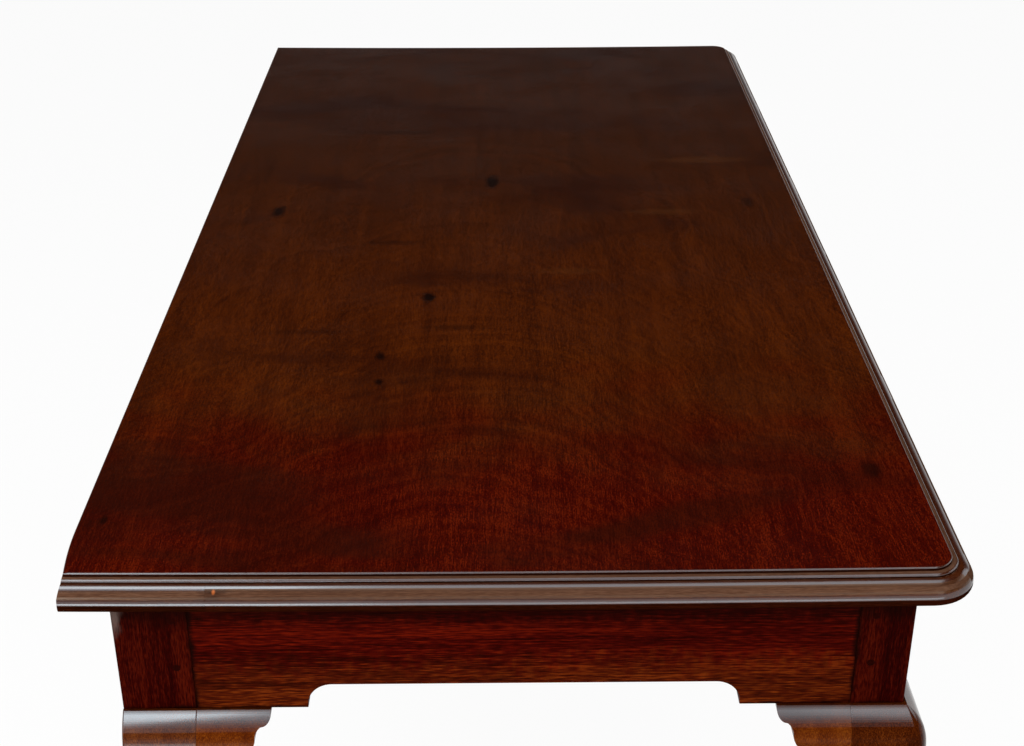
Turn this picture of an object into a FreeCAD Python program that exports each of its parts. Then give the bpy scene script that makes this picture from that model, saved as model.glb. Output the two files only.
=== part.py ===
import FreeCAD, Part
import math
import os

import Sketcher
from FreeCAD import Placement, Rotation, Vector

# Serving table in millimetres: X along its length, front towards -Y, back to the wall, floor at Z = 0

SIZES = {
    # Top plank
    "table_height": 760,
    "top_length": 1440,
    "top_depth": 703,
    "top_thickness": 25,
    # Moulded edge of the top, from its flat field outwards
    "edge_projection": 18,
    "field_drop": 3,
    "fillet_width": 5,
    "fillet_drop": 3,
    "ovolo_radius": 12.5,
    "under_radius": 5,
    "field_arris": 1,
    "field_corner_radius": 19,
    # Let-in length of moulding at the back left corner
    "splice_length": 113,
    "splice_depth": 12,
    # Frame under the top
    "end_overhang": 37,
    "front_overhang": 39,
    "back_overhang": 30,
    "rail_height": 121,
    "rail_thickness": 22,
    "back_rail_inset": 6,
    "cutout_margin": 90,
    "cutout_depth": 23,
    "cutout_radius": 20,
    # Pegged mortise and tenon joints
    "tenon_length": 26,
    "tenon_thickness": 9,
    "tenon_setback": 7,
    "tenon_shoulder": 16,
    "mortise_clearance": 0.1,
    "mortise_end_gap": 1,
    "peg_diameter": 6.5,
    "peg_length": 30,
    "peg_inset": 13,
    "peg_upper_drop": 34,
    "peg_lower_rise": 41,
    "peg_stagger": 11,
    "peg_clearance": 0.05,
    # Cabriole legs
    "post_width": 44,
    "back_post_depth": 60,
    "knee_projection": 21,
    "knee_drop": 55,
    "knee_ridge_radius": 5,
    "glue_face_allowance": 0.5,
    "leg_arris": 1,
    "ankle_height": 96,
    "ankle_width": 31,
    "ankle_setback": 20,
    "back_ankle_setback": 12,
    "foot_diameter": 70,
    "foot_height": 24,
    "foot_setback": 26,
    "back_foot_setback": 40,
    "foot_lip": 0.6,
    "foot_rim_radius": 14,
    "foot_pad_diameter": 54,
    "foot_pad_height": 6,
    # Knee brackets
    "bracket_length": 60,
    "bracket_drop": 76,
    "bracket_tip": 1.5,
    "bracket_toe": 3,
    "bracket_ovolo_width": 8.5,
    "bracket_ovolo_drop": 10.2,
    "bracket_ovolo_radius": 8.6,
    "bracket_cove_width": 4.5,
    "bracket_cove_drop": 20,
    "bracket_cove_radius": 10,
    "bracket_lobe_width": 10.5,
    "bracket_lobe_drop": 30,
    "bracket_lobe_radius": 11,
    "bracket_sweep_radius": 60,
    # Cross bearers dovetailed between the long rails
    "bearer_spacing": 480,
    "bearer_width": 50,
    "bearer_thickness": 24,
    "dovetail_length": 14,
    "dovetail_flare": 5,
    "dovetail_clearance": 0.1,
    # Glue blocks under the top
    "block_length": 70,
    "block_leg": 26,
    "block_nose": 8,
    "inner_block_offset": 110,
    "outer_block_inset": 187,
    "end_block_offset": 150,
    # Pocket screws through the rails into the top
    "screw_offset": 340,
    "screw_tilt": 15,
    "screw_seat": 28,
    "screw_length": 44,
    "screw_point": 10,
    "screw_shank_diameter": 5,
    "screw_head_diameter": 10,
    "screw_head_height": 3,
    "screw_slot_width": 1.2,
    "screw_slot_depth": 1.4,
    "screw_clearance": 0.1,
    "screw_pocket_diameter": 15,
    "screw_pocket_length": 45,
}

doc = FreeCAD.newDocument("ServingTable")
sheet = doc.addObject("Spreadsheet::Sheet", "Sizes")
for row, (alias, value) in enumerate(SIZES.items(), start=1):
    sheet.set(f"A{row}", alias)
    sheet.set(f"B{row}", str(value))
    sheet.setAlias(f"B{row}", alias)
doc.recompute()

# Planes that several pieces share, each a distance from the middle of the table or from the floor
FRAME_X = "(Sizes.top_length / 2 - Sizes.end_overhang)"
FRONT_Y = "(Sizes.top_depth / 2 - Sizes.front_overhang)"
BACK_Y = "(Sizes.top_depth / 2 - Sizes.back_overhang)"
POST_INNER_X = f"({FRAME_X} - Sizes.post_width)"
FRONT_JOINT_Y = f"({FRONT_Y} - Sizes.post_width)"
BACK_JOINT_Y = f"({BACK_Y} - Sizes.back_post_depth)"
END_INNER_X = f"({FRAME_X} - Sizes.rail_thickness)"
FRONT_INNER_Y = f"({FRONT_Y} - Sizes.rail_thickness)"
BACK_OUTER_Y = f"({BACK_Y} - Sizes.back_rail_inset)"
BACK_INNER_Y = f"({BACK_OUTER_Y} - Sizes.rail_thickness)"
END_MIDDLE_Y = f"(({BACK_JOINT_Y} - {FRONT_JOINT_Y}) / 2)"
RAIL_TOP = "(Sizes.table_height - Sizes.top_thickness)"
RAIL_BOTTOM = f"({RAIL_TOP} - Sizes.rail_height)"
KNEE_FOOT = f"({RAIL_BOTTOM} - Sizes.bracket_drop)"
TENON_HEIGHT = "(Sizes.rail_height - 2 * Sizes.tenon_shoulder)"
BEARER_X = "(Sizes.bearer_spacing / 2)"

# A cut reaches this far past the face that it opens
OVERCUT = 1
TOLERANCE = 1e-6

parts = []


def number(expression):
    """The value of an expression on the sheet."""
    return float(sheet.evalExpression(expression))


def new_body(label):
    body = doc.addObject("PartDesign::Body", label)
    doc.recompute()
    return body


def new_sketch(body, name, role, offset, along=None):
    """A sketch on one of the body's origin planes, moved along its normal, and along its first axis."""
    plane = next(item for item in body.Origin.OriginFeatures if item.Role == role)
    sketch = body.newObject("Sketcher::SketchObject", name)
    sketch.AttachmentSupport = [(plane, "")]
    sketch.MapMode = "FlatFace"
    sketch.setExpression("AttachmentOffset.Base.z", offset)
    if along:
        sketch.setExpression("AttachmentOffset.Base.x", along)
    return sketch


def arc_between(start, end, radius):
    """The smaller arc from start to end, turning left for a positive radius and right for a negative one."""
    chord = end - start
    sagitta = abs(radius) - math.sqrt(radius**2 - (chord.Length / 2) ** 2)
    bulge = Vector(chord.y, -chord.x, 0).normalize() * math.copysign(sagitta, radius)
    return Part.Arc(start, (start + end) / 2 + bulge, end)


def draw(sketch, corners):
    """A closed outline through corners (x, y), with a third value, a radius, where an arc ends there."""
    points = [Vector(number(corner[0]), number(corner[1]), 0) for corner in corners]
    ends = []
    for index, corner in enumerate(corners):
        start, end = points[index - 1], points[index]
        if len(corner) == 3:
            radius = number(corner[2])
            sketch.addGeometry(arc_between(start, end, radius), False)
            ends.append((1, 2) if radius > 0 else (2, 1))
        else:
            sketch.addGeometry(Part.LineSegment(start, end), False)
            ends.append((1, 2))
    for index, corner in enumerate(corners):
        following = (index + 1) % len(corners)
        last = ends[index][1]
        sketch.addConstraint(Sketcher.Constraint("Coincident", index, last, following, ends[following][0]))
        for kind, axis, expression in zip(("DistanceX", "DistanceY"), (-2, -1), corner):
            if expression == "0":
                sketch.addConstraint(Sketcher.Constraint("PointOnObject", index, last, axis))
                continue
            datum = Sketcher.Constraint(kind, -1, 1, index, last, number(expression))
            sketch.setExpression(f"Constraints[{sketch.addConstraint(datum)}]", expression)
        if len(corner) == 3:
            datum = Sketcher.Constraint("Radius", index, abs(number(corner[2])))
            sketch.setExpression(f"Constraints[{sketch.addConstraint(datum)}]", f"abs({corner[2]})")
    return sketch


def pad(body, name, sketch, length, reversed_way=False):
    feature = body.newObject("PartDesign::Pad", name)
    feature.Profile = sketch
    feature.Reversed = reversed_way
    feature.setExpression("Length", length)
    return feature


def pocket(body, name, sketch, length, both_ways=False):
    """A pocket, which has to take wood away."""
    doc.recompute()
    before = body.Shape.Volume
    feature = body.newObject("PartDesign::Pocket", name)
    feature.Profile = sketch
    feature.SideType = "Symmetric" if both_ways else "One side"
    feature.setExpression("Length", length)
    doc.recompute()
    if body.Shape.Volume >= before - TOLERANCE:
        raise RuntimeError(f"{body.Label}: {name} cuts nothing")
    return feature


def block(body, kind, name, corner, size):
    """An added or subtracted box, from its lowest corner and its sizes along X, Y and Z."""
    feature = body.newObject(f"PartDesign::{kind}Box", name)
    for side, length, axis, place in zip(("Length", "Width", "Height"), size, "xyz", corner):
        feature.setExpression(side, length)
        feature.setExpression(f"Placement.Base.{axis}", place)
    return feature


def place(thing, base, axis=Vector(0, 0, 1), angle=None):
    """Bind where a thing stands, and how far it is turned about an axis."""
    thing.Placement = Placement(Vector(), Rotation(axis, 1))
    thing.setExpression("Placement.Rotation.Angle", angle or "0 deg")
    for letter, expression in zip("xyz", base):
        thing.setExpression(f"Placement.Base.{letter}", expression)


def bore(body, name, base, axis, angle, diameter, depth):
    """A round hole that starts at base and runs along Z, turned by angle about axis."""
    feature = body.newObject("PartDesign::SubtractiveCylinder", name)
    feature.setExpression("Radius", f"({diameter}) / 2")
    feature.setExpression("Height", depth)
    place(feature, base, axis, angle)
    return feature


def loft(body, name, sections):
    feature = body.newObject("PartDesign::AdditiveLoft", name)
    feature.Profile = sections[0]
    feature.Sections = sections[1:]
    return feature


def turn(body, name, profile):
    """A solid of revolution about the upright axis of its half section."""
    feature = body.newObject("PartDesign::Revolution", name)
    feature.Profile = profile
    feature.ReferenceAxis = (profile, ["V_Axis"])
    feature.Angle = 360
    return feature


def finish(thing, label):
    thing.Label = label
    parts.append(thing)
    return thing


def mirrored(source, label):
    """The right-hand piece that matches a left-hand one."""
    copy = doc.addObject("Part::Mirroring", label)
    copy.Source = source
    copy.Base = Vector(0, 0, 0)
    copy.Normal = Vector(1, 0, 0)
    return finish(copy, label)


def smooth_step(share):
    return share**2 * (3 - 2 * share)


# Pocket screws: where each one crosses the rail's top edge, the axis it leans about and the way that it leans
TURN_FRONT, TURN_BACK = Vector(1, 0, 0), Vector(-1, 0, 0)
TURN_LEFT, TURN_RIGHT = Vector(0, -1, 0), Vector(0, 1, 0)
FRONT_SCREW_Y = f"(-({FRONT_Y} + {FRONT_INNER_Y}) / 2)"
BACK_SCREW_Y = f"(({BACK_OUTER_Y} + {BACK_INNER_Y}) / 2)"
END_SCREW_X = f"(({FRAME_X} + {END_INNER_X}) / 2)"
LONG_RAIL_SCREWS = ("-Sizes.screw_offset", "0", "Sizes.screw_offset")
SCREWS = {
    "front_rail": [((x, FRONT_SCREW_Y), TURN_FRONT, (0, -1)) for x in LONG_RAIL_SCREWS],
    "back_rail": [((x, BACK_SCREW_Y), TURN_BACK, (0, 1)) for x in LONG_RAIL_SCREWS],
    "left_end_rail": [((f"-{END_SCREW_X}", END_MIDDLE_Y), TURN_LEFT, (-1, 0))],
    "right_end_rail": [((END_SCREW_X, END_MIDDLE_Y), TURN_RIGHT, (1, 0))],
}


def on_screw_axis(screw, distance):
    """The point on a screw's axis that lies so far beyond the rail's top edge."""
    (x, y), _, (lean_x, lean_y) = screw
    return (
        f"{x} + {lean_x} * ({distance}) * sin(Sizes.screw_tilt)",
        f"{y} + {lean_y} * ({distance}) * sin(Sizes.screw_tilt)",
        f"{RAIL_TOP} + ({distance}) * cos(Sizes.screw_tilt)",
    )


TILT = "Sizes.screw_tilt * 1 deg"
SCREW_HOLE = "Sizes.screw_shank_diameter + 2 * Sizes.screw_clearance"


def screw_pockets(body, screws):
    """A gouged pocket with a flat seat, and the screw's hole from there to the rail's top edge."""
    for count, screw in enumerate(screws, start=1):
        start = on_screw_axis(screw, "-Sizes.screw_seat - Sizes.screw_pocket_length")
        axis = screw[1]
        length = "Sizes.screw_pocket_length"
        bore(body, f"pocket_{count}", start, axis, TILT, "Sizes.screw_pocket_diameter", length)
        seat = on_screw_axis(screw, "-Sizes.screw_seat")
        bore(body, f"hole_{count}", seat, axis, TILT, SCREW_HOLE, f"Sizes.screw_seat + 2 * {OVERCUT}")


# Top plank with its moulded front and ends, and a square back edge


def top_outline(body, name, level, projection):
    """The top's plan at one step of the moulding, so far beyond the flat field."""
    sketch = new_sketch(body, name, "XY_Plane", level)
    end = f"(Sizes.top_length / 2 - Sizes.edge_projection + {projection})"
    front = f"(Sizes.top_depth / 2 - Sizes.edge_projection + {projection})"
    radius = f"(Sizes.field_corner_radius + {projection})"
    back = "Sizes.top_depth / 2"
    corners = [
        (f"-{end}", back),
        (f"-{end}", f"-{front} + {radius}"),
        (f"-{end} + {radius}", f"-{front}", radius),
        (f"{end} - {radius}", f"-{front}"),
        (end, f"-{front} + {radius}", radius),
        (end, back),
    ]
    return draw(sketch, corners)


def round_edge(body, name, level, radius):
    """Round the edges of the body that lie at one level, along the front and both ends."""
    doc.recompute()
    base = body.Tip
    height, back = number(level), number("Sizes.top_depth / 2")
    names = []
    for index, edge in enumerate(base.Shape.Edges, start=1):
        middle = edge.CenterOfMass
        if abs(middle.z - height) < TOLERANCE and middle.y < back - TOLERANCE:
            names.append(f"Edge{index}")
    feature = body.newObject("PartDesign::Fillet", name)
    feature.Base = (base, names)
    feature.setExpression("Radius", radius)


def make_top():
    body = new_body("top_with_whole_edge")
    slab_top = "(Sizes.table_height - Sizes.field_drop - Sizes.fillet_drop)"
    field_foot = "(Sizes.table_height - Sizes.field_drop)"
    slab = top_outline(body, "nose_outline", RAIL_TOP, "Sizes.edge_projection")
    pad(body, "slab", slab, f"{slab_top} - {RAIL_TOP}")
    round_edge(body, "ovolo", slab_top, "Sizes.ovolo_radius")
    round_edge(body, "under_round", RAIL_TOP, "Sizes.under_radius")
    step = top_outline(body, "fillet_outline", slab_top, "Sizes.fillet_width")
    pad(body, "fillet_step", step, "Sizes.fillet_drop")
    field = top_outline(body, "field_outline", field_foot, "0")
    pad(body, "field", field, "Sizes.field_drop")
    round_edge(body, "field_arris", "Sizes.table_height", "Sizes.field_arris")
    screws = [screw for rail in SCREWS.values() for screw in rail]
    depth = f"Sizes.screw_length - Sizes.screw_seat + 2 * {OVERCUT}"
    for count, screw in enumerate(screws, start=1):
        start = on_screw_axis(screw, f"-{OVERCUT}")
        bore(body, f"pilot_{count}", start, screw[1], TILT, SCREW_HOLE, depth)

    waste = doc.addObject("Part::Box", "splice_space")
    waste.setExpression("Length", f"Sizes.splice_depth + {OVERCUT}")
    waste.setExpression("Width", f"Sizes.splice_length + {OVERCUT}")
    waste.setExpression("Height", f"Sizes.top_thickness + 2 * {OVERCUT}")
    corner = (
        f"-Sizes.top_length / 2 - {OVERCUT}",
        "Sizes.top_depth / 2 - Sizes.splice_length",
        f"{RAIL_TOP} - {OVERCUT}",
    )
    place(waste, corner)
    top = doc.addObject("Part::Cut", "top")
    top.Base, top.Tool = body, waste
    finish(top, "top")
    splice = doc.addObject("Part::Common", "edge_splice")
    splice.Base, splice.Tool = body, waste
    finish(splice, "edge_splice")


# Frieze rails with tenons at both ends


def rail_corners(start, end, shaped):
    """A rail's face between its shoulders, with a shallow cut-out in its lower edge where it is shaped."""
    corners = [(start, RAIL_TOP), (start, RAIL_BOTTOM)]
    if shaped:
        radius = "Sizes.cutout_radius"
        low, high = f"{start} + Sizes.cutout_margin", f"{end} - Sizes.cutout_margin"
        crown = f"{RAIL_BOTTOM} + Sizes.cutout_depth"
        spring = f"{crown} - {radius}"
        corners += [
            (low, RAIL_BOTTOM),
            (low, spring),
            (f"{low} + {radius}", crown, f"-{radius}"),
            (f"{high} - {radius}", crown),
            (high, spring, f"-{radius}"),
            (high, RAIL_BOTTOM),
        ]
    return corners + [(end, RAIL_BOTTOM), (end, RAIL_TOP)]


TENON_FOOT = f"({RAIL_BOTTOM} + Sizes.tenon_shoulder)"
PEG_HOLE = "Sizes.peg_diameter + 2 * Sizes.peg_clearance"
ALONG_X, ALONG_Y = Vector(0, 1, 0), Vector(-1, 0, 0)
AGAINST_Y = Vector(1, 0, 0)
QUARTER_TURN = "90 deg"
END_PEG_DROPS = ("Sizes.peg_upper_drop", "(Sizes.rail_height - Sizes.peg_lower_rise)")
LONG_PEG_DROPS = tuple(f"{drop} + Sizes.peg_stagger" for drop in END_PEG_DROPS)

# Pegs of the left-hand joints: where each row enters its post, the axis that turns it inwards, and its drops
PEG_ROWS = {
    "front_end": ((f"-{FRAME_X}", f"-({FRONT_JOINT_Y} + Sizes.peg_inset)"), ALONG_X, END_PEG_DROPS),
    "back_end": ((f"-{FRAME_X}", f"{BACK_JOINT_Y} + Sizes.peg_inset"), ALONG_X, END_PEG_DROPS),
    "front_long": ((f"-({POST_INNER_X} + Sizes.peg_inset)", f"-{FRONT_Y}"), ALONG_Y, LONG_PEG_DROPS),
    "back_long": ((f"-({POST_INNER_X} + Sizes.peg_inset)", BACK_Y), AGAINST_Y, LONG_PEG_DROPS),
}


def peg_holes(body, row, side="left"):
    (x, y), axis, drops = PEG_ROWS[row]
    sign = "" if side == "left" else "-"
    for count, drop in enumerate(drops, start=1):
        base = (f"{sign}({x})", y, f"{RAIL_TOP} - ({drop})")
        name = f"{side}_{row}_peg_hole_{count}"
        bore(body, name, base, axis, QUARTER_TURN, PEG_HOLE, "Sizes.peg_length")


def left_end_rail():
    body = new_body("left_end_rail")
    start, end = f"-{FRONT_JOINT_Y}", BACK_JOINT_Y
    face = new_sketch(body, "face", "YZ_Plane", f"-{FRAME_X}")
    pad(body, "board", draw(face, rail_corners(start, end, True)), "Sizes.rail_thickness")
    size = ("Sizes.tenon_thickness", "Sizes.tenon_length", TENON_HEIGHT)
    tenon_x = f"-{FRAME_X} + Sizes.tenon_setback"
    block(body, "Additive", "front_tenon", (tenon_x, f"{start} - Sizes.tenon_length", TENON_FOOT), size)
    block(body, "Additive", "back_tenon", (tenon_x, end, TENON_FOOT), size)
    peg_holes(body, "front_end")
    peg_holes(body, "back_end")
    screw_pockets(body, SCREWS["left_end_rail"])
    return finish(body, "left_end_rail")


def dovetail_socket(body, name, middle, face, outward):
    """A socket in a long rail's top edge for one bearer's dovetail, from the rail's inner face outwards."""
    sketch = new_sketch(body, f"{name}_outline", "XY_Plane", RAIL_TOP)
    wide = "(Sizes.bearer_width / 2 + Sizes.dovetail_clearance)"
    neck = f"({wide} - Sizes.dovetail_flare)"
    floor = f"{face} + {outward} * (Sizes.dovetail_length + Sizes.dovetail_clearance)"
    corners = [
        (f"{middle} - {neck}", face),
        (f"{middle} + {neck}", face),
        (f"{middle} + {wide}", floor),
        (f"{middle} - {wide}", floor),
    ]
    pocket(body, name, draw(sketch, corners), "Sizes.bearer_thickness")


def long_rail(label, outer, inner, shaped, peg_row):
    """A rail between the two front or the two back posts, from the Y of its outer and its inner face."""
    body = new_body(label)
    outward = -1 if number(outer) < number(inner) else 1
    face = new_sketch(body, "face", "XZ_Plane", f"-({outer})")
    outline = draw(face, rail_corners(f"-{POST_INNER_X}", POST_INNER_X, shaped))
    pad(body, "board", outline, "Sizes.rail_thickness", reversed_way=outward < 0)
    setback = "Sizes.tenon_setback" if outward < 0 else "-Sizes.tenon_setback - Sizes.tenon_thickness"
    tenon_y = f"{outer} + {setback}"
    size = ("Sizes.tenon_length", "Sizes.tenon_thickness", TENON_HEIGHT)
    left_end = f"-{POST_INNER_X} - Sizes.tenon_length"
    block(body, "Additive", "left_tenon", (left_end, tenon_y, TENON_FOOT), size)
    block(body, "Additive", "right_tenon", (POST_INNER_X, tenon_y, TENON_FOOT), size)
    peg_holes(body, peg_row)
    peg_holes(body, peg_row, "right")
    dovetail_socket(body, "left_socket", f"-{BEARER_X}", inner, outward)
    dovetail_socket(body, "right_socket", BEARER_X, inner, outward)
    screw_pockets(body, SCREWS[label])
    return finish(body, label)


# Cabriole legs, each one piece from the post down to the pad foot

KNEE_SHARES = (0, 0.015, 0.045, 0.1, 0.2, 0.36, 0.6, 1)
SHANK_SHARES = (0, 0.1, 0.22, 0.36, 0.52, 0.68, 0.84, 1)
FOOT_SHARES = (0.3, 0.55, 0.75, 0.9, 1)
# The share of the knee's drop where its shoulder springs, and how early the shank thins and grows round
SPRINGING_SHARE = 0.005
THINNING_POWER = 0.75
ROUNDING_PACE = 1.25
# How late the foot spreads, and the corner radius of an all but round section as a share of its width
SPREAD_POWER = 2.4
ROUND_SHARE = 0.49


def knee_reach(share):
    """How far the knee's shoulder stands out at a share of its drop, as a quarter of an ellipse."""
    turned = SPRINGING_SHARE + (1 - SPRINGING_SHARE) * share
    return f"Sizes.knee_projection * {math.sqrt(1 - (1 - turned) ** 2):.6f}"


def knee_level(share):
    return f"({RAIL_BOTTOM} - Sizes.knee_drop * {share})"


def leg_stations(back):
    """Sections of a leg from the knee to the foot: level, outer and inner face along X and Y, and rounding.

    Faces are measured outwards from the frame's faces, and inner faces lie inside them.
    """
    depth = "Sizes.back_post_depth" if back else "Sizes.post_width"
    x_blank = "(Sizes.post_width + Sizes.knee_projection)"
    y_blank = depth if back else x_blank
    setback_y = "Sizes.back_ankle_setback" if back else "Sizes.ankle_setback"
    foot_y = "Sizes.back_foot_setback" if back else "Sizes.foot_setback"
    stations = []
    for share in KNEE_SHARES:
        reach = knee_reach(share)
        ridge = f"Sizes.leg_arris + (Sizes.knee_ridge_radius - Sizes.leg_arris) * {share}"
        across_x = (reach, "-Sizes.post_width - Sizes.glue_face_allowance")
        across_y = ("0", f"-{depth} - Sizes.glue_face_allowance") if back else across_x
        stations.append((knee_level(share), across_x, across_y, ridge, "Sizes.leg_arris"))
    for share in SHANK_SHARES:
        level = f"({KNEE_FOOT} * {1 - share} + Sizes.ankle_height * {share})"
        lean, thin = smooth_step(share), smooth_step(share**THINNING_POWER)
        outer_x = f"(Sizes.knee_projection * {1 - lean} - Sizes.ankle_setback * {lean})"
        outer_y = f"(-{setback_y} * {lean})" if back else outer_x
        wide_x = f"({x_blank} * {1 - thin} + Sizes.ankle_width * {thin})"
        wide_y = f"({y_blank} * {1 - thin} + Sizes.ankle_width * {thin})"
        rounding = smooth_step(min(1, ROUNDING_PACE * share))
        ridge = f"Sizes.knee_ridge_radius * {1 - rounding} + {wide_x} * {ROUND_SHARE * rounding}"
        arris = f"Sizes.leg_arris * {1 - rounding} + {wide_x} * {ROUND_SHARE * rounding}"
        across = ((outer_x, f"{outer_x} - {wide_x}"), (outer_y, f"{outer_y} - {wide_y}"))
        stations.append((level, *across, ridge, arris))
    for share in FOOT_SHARES:
        level = f"(Sizes.ankle_height * {1 - share} + Sizes.foot_height * {share})"
        shift, spread = smooth_step(share), share**SPREAD_POWER
        wide = f"(Sizes.ankle_width * {1 - spread} + Sizes.foot_diameter * {spread})"
        across = []
        for setback, foot in (("Sizes.ankle_setback", "Sizes.foot_setback"), (setback_y, foot_y)):
            middle = f"(-({setback} + Sizes.ankle_width / 2) * {1 - shift} - {foot} * {shift})"
            across.append((f"{middle} + {wide} / 2", f"{middle} - {wide} / 2"))
        corner = f"{wide} * {ROUND_SHARE}"
        stations.append((level, *across, corner, corner))
    return stations


def rounded_rectangle(sketch, low, high, radii):
    """A rectangle from its low to its high corner, whose four radii go round from the low corner."""
    (x0, y0), (x1, y1) = low, high
    first, second, third, fourth = radii
    corners = [
        (f"{x0} + {first}", y0, first),
        (f"{x1} - ({second})", y0),
        (x1, f"{y0} + {second}", second),
        (x1, f"{y1} - ({third})"),
        (f"{x1} - ({third})", y1, third),
        (f"{x0} + {fourth}", y1),
        (x0, f"{y1} - ({fourth})", fourth),
        (x0, f"{y0} + {first}"),
    ]
    return draw(sketch, corners)


def leg_section(body, name, station, back):
    level, (outer_x, inner_x), (outer_y, inner_y), ridge, arris = station
    sketch = new_sketch(body, name, "XY_Plane", level)
    x_low, x_high = f"-({FRAME_X} + {outer_x})", f"-({FRAME_X} + {inner_x})"
    if back:
        low, high = (x_low, f"{BACK_Y} + {inner_y}"), (x_high, f"{BACK_Y} + {outer_y}")
        radii = (arris, arris, arris, ridge)
    else:
        low, high = (x_low, f"-({FRONT_Y} + {outer_y})"), (x_high, f"-({FRONT_Y} + {inner_y})")
        radii = (ridge, arris, arris, arris)
    return rounded_rectangle(sketch, low, high, radii)


def turned_pad(body, back):
    """The pad foot: a flat disc under a rim that swells to the foot's width."""
    foot_y = f"{BACK_Y} - Sizes.back_foot_setback" if back else f"-({FRONT_Y} - Sizes.foot_setback)"
    foot_x = f"-({FRAME_X} - Sizes.foot_setback)"
    profile = new_sketch(body, "pad_profile", "XZ_Plane", f"-({foot_y})", foot_x)
    corners = [
        ("0", "0"),
        ("Sizes.foot_pad_diameter / 2", "0"),
        ("Sizes.foot_pad_diameter / 2", "Sizes.foot_pad_height"),
        ("Sizes.foot_diameter / 2 + Sizes.foot_lip", "Sizes.foot_height", "Sizes.foot_rim_radius"),
        ("0", "Sizes.foot_height"),
    ]
    draw(profile, corners)
    turn(body, "pad", profile)


def glue_faces(body, back, depth, post_low):
    """Plane both inner faces of the knee flat, where brackets are glued on, past the leg's sides."""
    spare, height = "Sizes.post_width", "Sizes.bracket_drop"
    long_corner = (f"-{POST_INNER_X}", f"{post_low} - {spare}", KNEE_FOOT)
    block(body, "Subtractive", "long_glue_face", long_corner, (spare, f"{depth} + 2 * {spare}", height))
    end_y = f"{BACK_JOINT_Y} - {spare}" if back else f"-{FRONT_JOINT_Y}"
    end_corner = (f"-{FRAME_X} - {spare}", end_y, KNEE_FOOT)
    block(body, "Subtractive", "end_glue_face", end_corner, (f"3 * {spare}", spare, height))


def mortises(body, back):
    """One mortise for the end rail's tenon and one for the long rail's."""
    reach = "(Sizes.tenon_length + Sizes.mortise_end_gap)"
    wide = "(Sizes.tenon_thickness + 2 * Sizes.mortise_clearance)"
    tall = f"({TENON_HEIGHT} + 2 * Sizes.mortise_clearance)"
    foot = f"{TENON_FOOT} - Sizes.mortise_clearance"
    end_x = f"-{FRAME_X} + Sizes.tenon_setback - Sizes.mortise_clearance"
    end_y = BACK_JOINT_Y if back else f"-{FRONT_JOINT_Y} - {reach}"
    block(body, "Subtractive", "end_mortise", (end_x, end_y, foot), (wide, reach, tall))
    front_y = f"-{FRONT_Y} + Sizes.tenon_setback - Sizes.mortise_clearance"
    back_y = f"{BACK_OUTER_Y} - Sizes.tenon_setback - Sizes.tenon_thickness - Sizes.mortise_clearance"
    long_corner = (f"-{POST_INNER_X} - {reach}", back_y if back else front_y, foot)
    block(body, "Subtractive", "long_mortise", long_corner, (reach, wide, tall))


def left_leg(label, back):
    body = new_body(label)
    stations = leg_stations(back)
    sections = [leg_section(body, f"section_{n}", station, back) for n, station in enumerate(stations)]
    loft(body, "cabriole", sections)
    depth = "Sizes.back_post_depth" if back else "Sizes.post_width"
    post_low = BACK_JOINT_Y if back else f"-{FRONT_Y}"
    size = ("Sizes.post_width", depth, "Sizes.rail_height")
    block(body, "Additive", "post", (f"-{FRAME_X}", post_low, RAIL_BOTTOM), size)
    turned_pad(body, back)
    glue_faces(body, back, depth, post_low)
    mortises(body, back)
    peg_holes(body, "back_end" if back else "front_end")
    peg_holes(body, "back_long" if back else "front_long")
    return finish(body, label)


# Knee brackets, glued to a leg's side and under a rail


def bracket_profile(joint, way):
    """What is sawn away below a bracket, from its tip on the rail: ovolo, cove, lobe and sweep."""

    def spot(along, drop):
        return (f"{joint} + {way} * ({along})", f"{RAIL_BOTTOM} - ({drop})")

    length = "Sizes.bracket_length"
    ovolo = f"{length} - Sizes.bracket_ovolo_width"
    cove = f"{ovolo} - Sizes.bracket_cove_width"
    lobe = f"{cove} - Sizes.bracket_lobe_width"
    beyond = f"{length} + {OVERCUT}"
    below = f"Sizes.bracket_drop + {OVERCUT}"
    return [
        spot(beyond, f"-{OVERCUT}"),
        spot(length, f"-{OVERCUT}"),
        spot(length, "Sizes.bracket_tip"),
        (*spot(ovolo, "Sizes.bracket_ovolo_drop"), f"-{way} * Sizes.bracket_ovolo_radius"),
        (*spot(cove, "Sizes.bracket_cove_drop"), f"{way} * Sizes.bracket_cove_radius"),
        (*spot(lobe, "Sizes.bracket_lobe_drop"), f"-{way} * Sizes.bracket_lobe_radius"),
        (*spot("Sizes.bracket_toe", below), f"{way} * Sizes.bracket_sweep_radius"),
        spot(beyond, below),
    ]


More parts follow.
